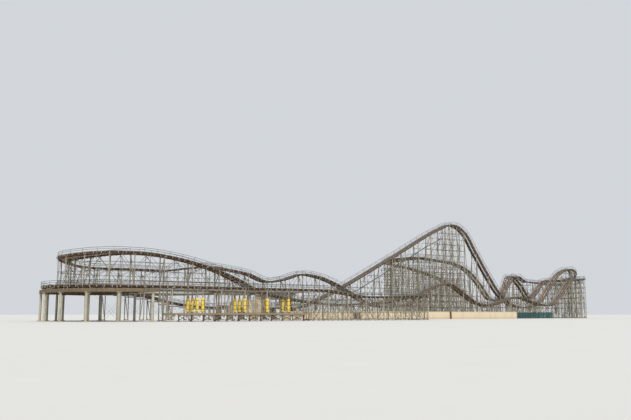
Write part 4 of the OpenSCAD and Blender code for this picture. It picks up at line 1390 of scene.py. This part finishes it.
class COASTER_OT_car(Piece):
    """Upholsters and trims the car, and gives its wheels tyres"""

    bl_idname = "coaster.car"
    bl_label = "Car"

    def make(self, *_):
        low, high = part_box("car_tub")
        y = (low.y + high.y) / 2
        bench = (high.x - low.x - 0.018) / 2
        seat, back = self.cushion(0.048, 0.100, 0.010, 2), self.cushion(0.040, 0.100, 0.009, 3)
        lean = Matrix.Rotation(1.42, 4, "Y")
        for n in (0, 1):
            x = low.x + n * bench
            on_seat = Matrix.Translation((x + 0.043, y, low.z + 0.030))
            on_back = Matrix.Translation((x + 0.0195, y, low.z + 0.053)) @ lean
            for kind, cushion, place in (("seat", seat, on_seat), ("backrest", back, on_back)):
                copy = copy_at(cushion, f"{kind}_cushion_{n + 1}", place)
                settled(copy, body="car")
        bpy.data.objects.remove(seat)
        bpy.data.objects.remove(back)
        self.trim(low, high, bench)
        self.ends(low, high)
        self.coaming(low, high, bench)
        self.running_gear(y)

    def cushion(self, depth, width, thick, channels):
        """A crowned cushion with sewn channels across it."""
        bpy.ops.mesh.primitive_cube_add(size=1)
        cushion = added("cushion", "lap_bar", (depth, width, thick))
        shaped(cushion, "EDGE", lambda e: True, bpy.ops.mesh.subdivide, number_cuts=9)
        for v in cushion.data.vertices:
            u, w = 2 * v.co.x / depth, 2 * v.co.y / width
            crown = (1 - abs(u) ** 4) * (1 - abs(w) ** 6)
            seam = abs(math.cos(math.pi * (u + 1) / 2 * channels)) ** 0.5
            if v.co.z > 0:
                v.co.z *= 0.45 + 0.75 * crown * (0.55 + 0.45 * (1 - abs(2 * seam - 1) ** 3 * 0.5))
            v.co.x *= 1 - 0.035 * (1 - abs(w))
            v.co.y *= 1 - 0.02 * (1 - abs(u))
        return softened(cushion)

    def trim(self, low, high, bench):
        """Stripes, a rubbing strip and bolts on both sides, the front bench's rail and a nose line."""
        proud, bolt_pitch, bolt_size = 0.0012, 0.02, (0.004, 0.002, 0.004)
        cream, steel, bolts = [], [], []
        foot = low.z
        for face, side in ((low.y, -1), (high.y, 1)):
            out = face + side * 0.001
            y0, y1 = aside(face, side, 0, proud)
            cream.append(filled((low.x + 0.004, y0, foot + 0.016), (high.x - 0.026, y1, foot + 0.021)))
            cream.append(filled((low.x + 0.004, y0, foot + 0.024), (high.x - 0.022, y1, foot + 0.0255)))
            steel.append(filled((low.x, y0, foot), (high.x - 0.04, y1, foot + 0.004)))
            bolts += [(low.x + 0.072 + n * bench, out + side * 0.002, foot + 0.030) for n in (0, 1)]
            bolts += [(x, out, foot + 0.002) for x in steps_of(low.x + 0.01, high.x - 0.05, bolt_pitch)]
        x0, z0 = low.x + bench + 0.001, foot + 0.064
        x1, z1 = x0 + 0.003, z0 + 0.003
        ends = low.y + 0.012, high.y - 0.012
        steel.append(crossbar((x0, ends[0], z0), (x1, ends[1], z1)))
        steel += [post_in((x0, y - 0.0015, z0 - 0.008), (x1, y + 0.0015, z1)) for y in ends]
        cream.append(crossbar((high.x - 0.016, low.y + 0.010, foot + 0.044),
                              (high.x - 0.012, high.y - 0.010, foot + 0.048)))
        bars("car_stripes", cream, "car_trim", "car_paint", "car")
        bars("car_steelwork", steel, "wheel_steel", "dark_steel", "car")
        places = [Matrix.Translation(bolt) @ Matrix.Diagonal((*bolt_size, 1)) for bolt in bolts]
        stamp("car_bolts", disc_unit(8, 0.5, 1, 1, 0.12), places, "wheel_steel", "dark_steel", "car")

    def ends(self, low, high):
        """Border lines, lamps and bumpers on the tail and the nose, a grab rail and ribbed mats."""
        y0, y1 = low.y, high.y
        tail, nose, foot = low.x, high.x, low.z
        line, proud, margin = 0.002, 0.0012, 0.008
        cream, steel = [], []
        for z in (foot + 0.010, foot + 0.050):
            cream.append(crossbar((tail - proud, y0 + margin, z), (tail, y1 - margin, z + line)))
        for y in (y0 + margin, y1 - margin - line):
            cream.append(post_in((tail - proud, y, foot + 0.010), (tail, y + line, foot + 0.052)))
        lower, upper = np.array((nose, 0, foot + 0.016)), np.array((nose - 0.014, 0, foot + 0.0465))
        normal = 0.909, 0, 0.417
        edges = [lower + (upper - lower) * t for t in (0.14, 0.86)]
        for edge in edges:
            cream.append(beams(edge + (0, y0 + margin, 0), edge + (0, y1 - margin, 0), line, line, normal))
        for y in (y0 + margin + line / 2, y1 - margin - line / 2):
            cream.append(beams(*(edge + (0, y, 0) for edge in edges), line, line, normal))
        for x0, x1, inset, z in ((tail - 0.006, tail - 0.0005, 0.004, foot + 0.0005),
                                 (nose - 0.004, nose + 0.003, 0.002, foot + 0.0095)):
            steel.append(crossbar((x0, y0 + inset, z), (x1, y1 - inset, z + 0.006)))
        z0, z1, inset, grip = foot + 0.042, foot + 0.0445, 0.030, 0.0025
        steel.append(crossbar((tail - 0.0065, y0 + inset, z0), (tail - 0.0065 + grip, y1 - inset, z1)))
        for y in (y0 + inset, y1 - inset - grip):
            steel.append(filled((tail - 0.0065, y, z0), (tail, y + grip, z1)))
        mats = [crossbar((a, y0 + 0.010, foot + 0.0078), (b, y1 - 0.010, foot + 0.0090))
                for x0, x1 in ((0.066, 0.094), (0.162, 0.186)) for a, b in slats(tail + x0, tail + x1, 0.004)]
        bars("car_borders", cream, "car_trim", "car_paint", "car")
        bars("car_bumpers", steel, "wheel_steel", "dark_steel", "car", chamfer=0.3)
        bars("car_mats", mats, "lap_bar", body="car")
        lamps = [Matrix.Translation((tail - 0.001, y, foot + 0.030)) for y in (y0 + 0.020, y1 - 0.020)]
        stamp("car_reflectors", disc_unit(24, 0.0055, 0.004, 0, 0.0012, 3), lamps, "car_paint", body="car")

    def coaming(self, low, high, bench):
        """A padded roll along the top edge of each side."""
        ramp, crest, dip = (0.0005, 0.058), (0.016, 0.062), 0.0372
        profile = [ramp, crest, (0.6 * bench, dip), (bench, ramp[1]), (bench + crest[0], crest[1]),
                   (1.6 * bench, dip), (high.x - low.x - 0.014, 0.0465)]
        soft = [(x0 + (x1 - x0) * t, z0 + (z1 - z0) * t) for (x0, z0), (x1, z1) in zip(profile, profile[1:])
                for t in (0.12, 0.3, 0.5, 0.7, 0.88)]
        rolls = []
        for y in (low.y + 0.003, high.y - 0.003):
            path = bpy.data.curves.new("roll", "CURVE")
            path.dimensions, path.bevel_depth, path.bevel_resolution = "3D", 0.0034, 3
            path.use_fill_caps = True
            poly_line(path, [(low.x + x, y, low.z + z + 0.0005) for x, z in soft])
            rolls.append(solid_of("roll", path))
        roll = joined(rolls, "car_coaming")
        roll.data.materials.clear()
        roll.data.materials.append(FINISH["lap_bar"])
        merged(roll, outwards=True)
        bpy.ops.object.shade_smooth()
        settled(roll, body="car")

    def running_gear(self, y):
        """Tyres, hubs and nuts on the wheels, and the axle boxes of the chassis."""
        face, ring = 0.055, 0.009
        axle_boxes = []
        for end in ("front", "rear"):
            low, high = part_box(f"wheelset_{end}")
            x, z = (low.x + high.x) / 2, (low.z + high.z) / 2
            bpy.ops.mesh.primitive_torus_add(major_segments=40, minor_segments=10, major_radius=0.0128,
                                             minor_radius=0.0020, rotation=(math.pi / 2, 0, 0))
            tyre = added("tyre", scale=(1, 1, 1.9))
            hub, nut = disc_unit(24, 0.006, 0.004, 1, 0.001, 2), disc_unit(6, 0.0009, 0.0025, 1, 0.0002)
            nuts = [(x + ring * math.cos(a), z + ring * math.sin(a)) for a in np.arange(6) * math.pi / 3]
            for name, unit, out, finish, spots in (("tyres", tyre, face, "tyre", [(x, z)]),
                                                   ("hubs", hub, face + 0.006, "dark_steel", [(x, z)]),
                                                   ("nuts", nut, face + 0.0055, "wheel_steel", nuts)):
                places = [Matrix.Translation((u, y + side * out, w)) for side in (-1, 1) for u, w in spots]
                stamp(f"{name}_{end}", unit, places, finish, "wheel_steel", f"{end}_wheels")
            for side in (-1, 1):
                y0, y1 = aside(y, side, 0.0352, 0.0385)
                axle_boxes.append(filled((x - 0.012, y0, z + 0.0045), (x + 0.012, y1, z + 0.020)))
        bars("axle_boxes", axle_boxes, "dark_steel", body="car", chamfer=0.2)


class COASTER_OT_stage(Piece):
    """Lays the studio floor, hangs the lights and sets the camera"""

    bl_idname = "coaster.stage"
    bl_label = "Stage"

    # The camera stands by the left front of the ride, at a person's eye level, and looks up a little
    EYE = Vector((-16.48, -17.795, 0.16))
    HEADING = math.radians(36.6)
    PITCH = math.radians(7.9)
    LENS = 42.8
    SUN = math.radians(48), 0, math.radians(-28)
    SUN_SIZE = math.radians(12)
    SKY = (0.86, 0.9, 0.95, 1)

    def make(self, *_):
        scene = bpy.context.scene
        bpy.ops.mesh.primitive_plane_add(size=400)
        floor = added("studio_floor")
        finish = Finish("studio_floor")
        grain = finish.noise(3, 3)
        rgb = tuple(scene.coaster_colours.floor)
        floor.data.materials.append(finish.finish(finish.mix(rgb, shade(rgb, 0.94), grain), 0.9))
        data = bpy.data.cameras.new("camera")
        data.lens, data.sensor_width, data.clip_end = self.LENS, 36, 500
        scene.camera = linked("camera", data)
        scene.camera.location = self.EYE
        scene.camera.rotation_euler = (math.pi / 2 + self.PITCH, 0, -self.HEADING)
        bpy.ops.object.light_add(type="SUN", rotation=self.SUN)
        sun = bpy.context.active_object
        sun.data.energy, sun.data.angle = 2.6, self.SUN_SIZE
        scene.world = bpy.data.worlds.new("studio")
        scene.world.use_nodes = True
        sky = scene.world.node_tree.nodes["Background"].inputs
        sky[0].default_value, sky[1].default_value = self.SKY, 0.75
        scene.view_settings.view_transform = "Standard"


class COASTER_PT_panel(bpy.types.Panel):
    """Lists the pieces in the sidebar"""

    bl_idname = "COASTER_PT_panel"
    bl_label = "Coaster"
    bl_space_type = "VIEW_3D"
    bl_region_type = "UI"
    bl_category = "Coaster"

    def draw(self, context):
        for operator in OPERATORS:
            self.layout.operator(operator.bl_idname)
        for group in ("coaster_track", "coaster_trestle", "coaster_colours"):
            box = self.layout.box()
            for key in getattr(context.scene, group).__annotations__:
                box.prop(getattr(context.scene, group), key)


OPERATORS = (
    COASTER_OT_finishes, COASTER_OT_stage, COASTER_OT_rails, COASTER_OT_deck, COASTER_OT_handrails,
    COASTER_OT_inner_bents, COASTER_OT_bracing, COASTER_OT_footings, COASTER_OT_chain, COASTER_OT_turn_floor,
    COASTER_OT_pier, COASTER_OT_station, COASTER_OT_wall, COASTER_OT_pads, COASTER_OT_car,
)
GROUPS = {"coaster_track": TrackSizes, "coaster_trestle": TrestleSizes, "coaster_colours": Colours}


def register():
    for cls in (*GROUPS.values(), *OPERATORS, COASTER_PT_panel):
        bpy.utils.register_class(cls)
    for name, group in GROUPS.items():
        setattr(bpy.types.Scene, name, PointerProperty(type=group))


def unregister():
    for name in GROUPS:
        delattr(bpy.types.Scene, name)
    for cls in reversed((*GROUPS.values(), *OPERATORS, COASTER_PT_panel)):
        bpy.utils.unregister_class(cls)


def main():
    register()
    for operator in OPERATORS:
        group, name = operator.bl_idname.split(".")
        getattr(getattr(bpy.ops, group), name)()
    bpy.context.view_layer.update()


if __name__ == "__main__":
    main()
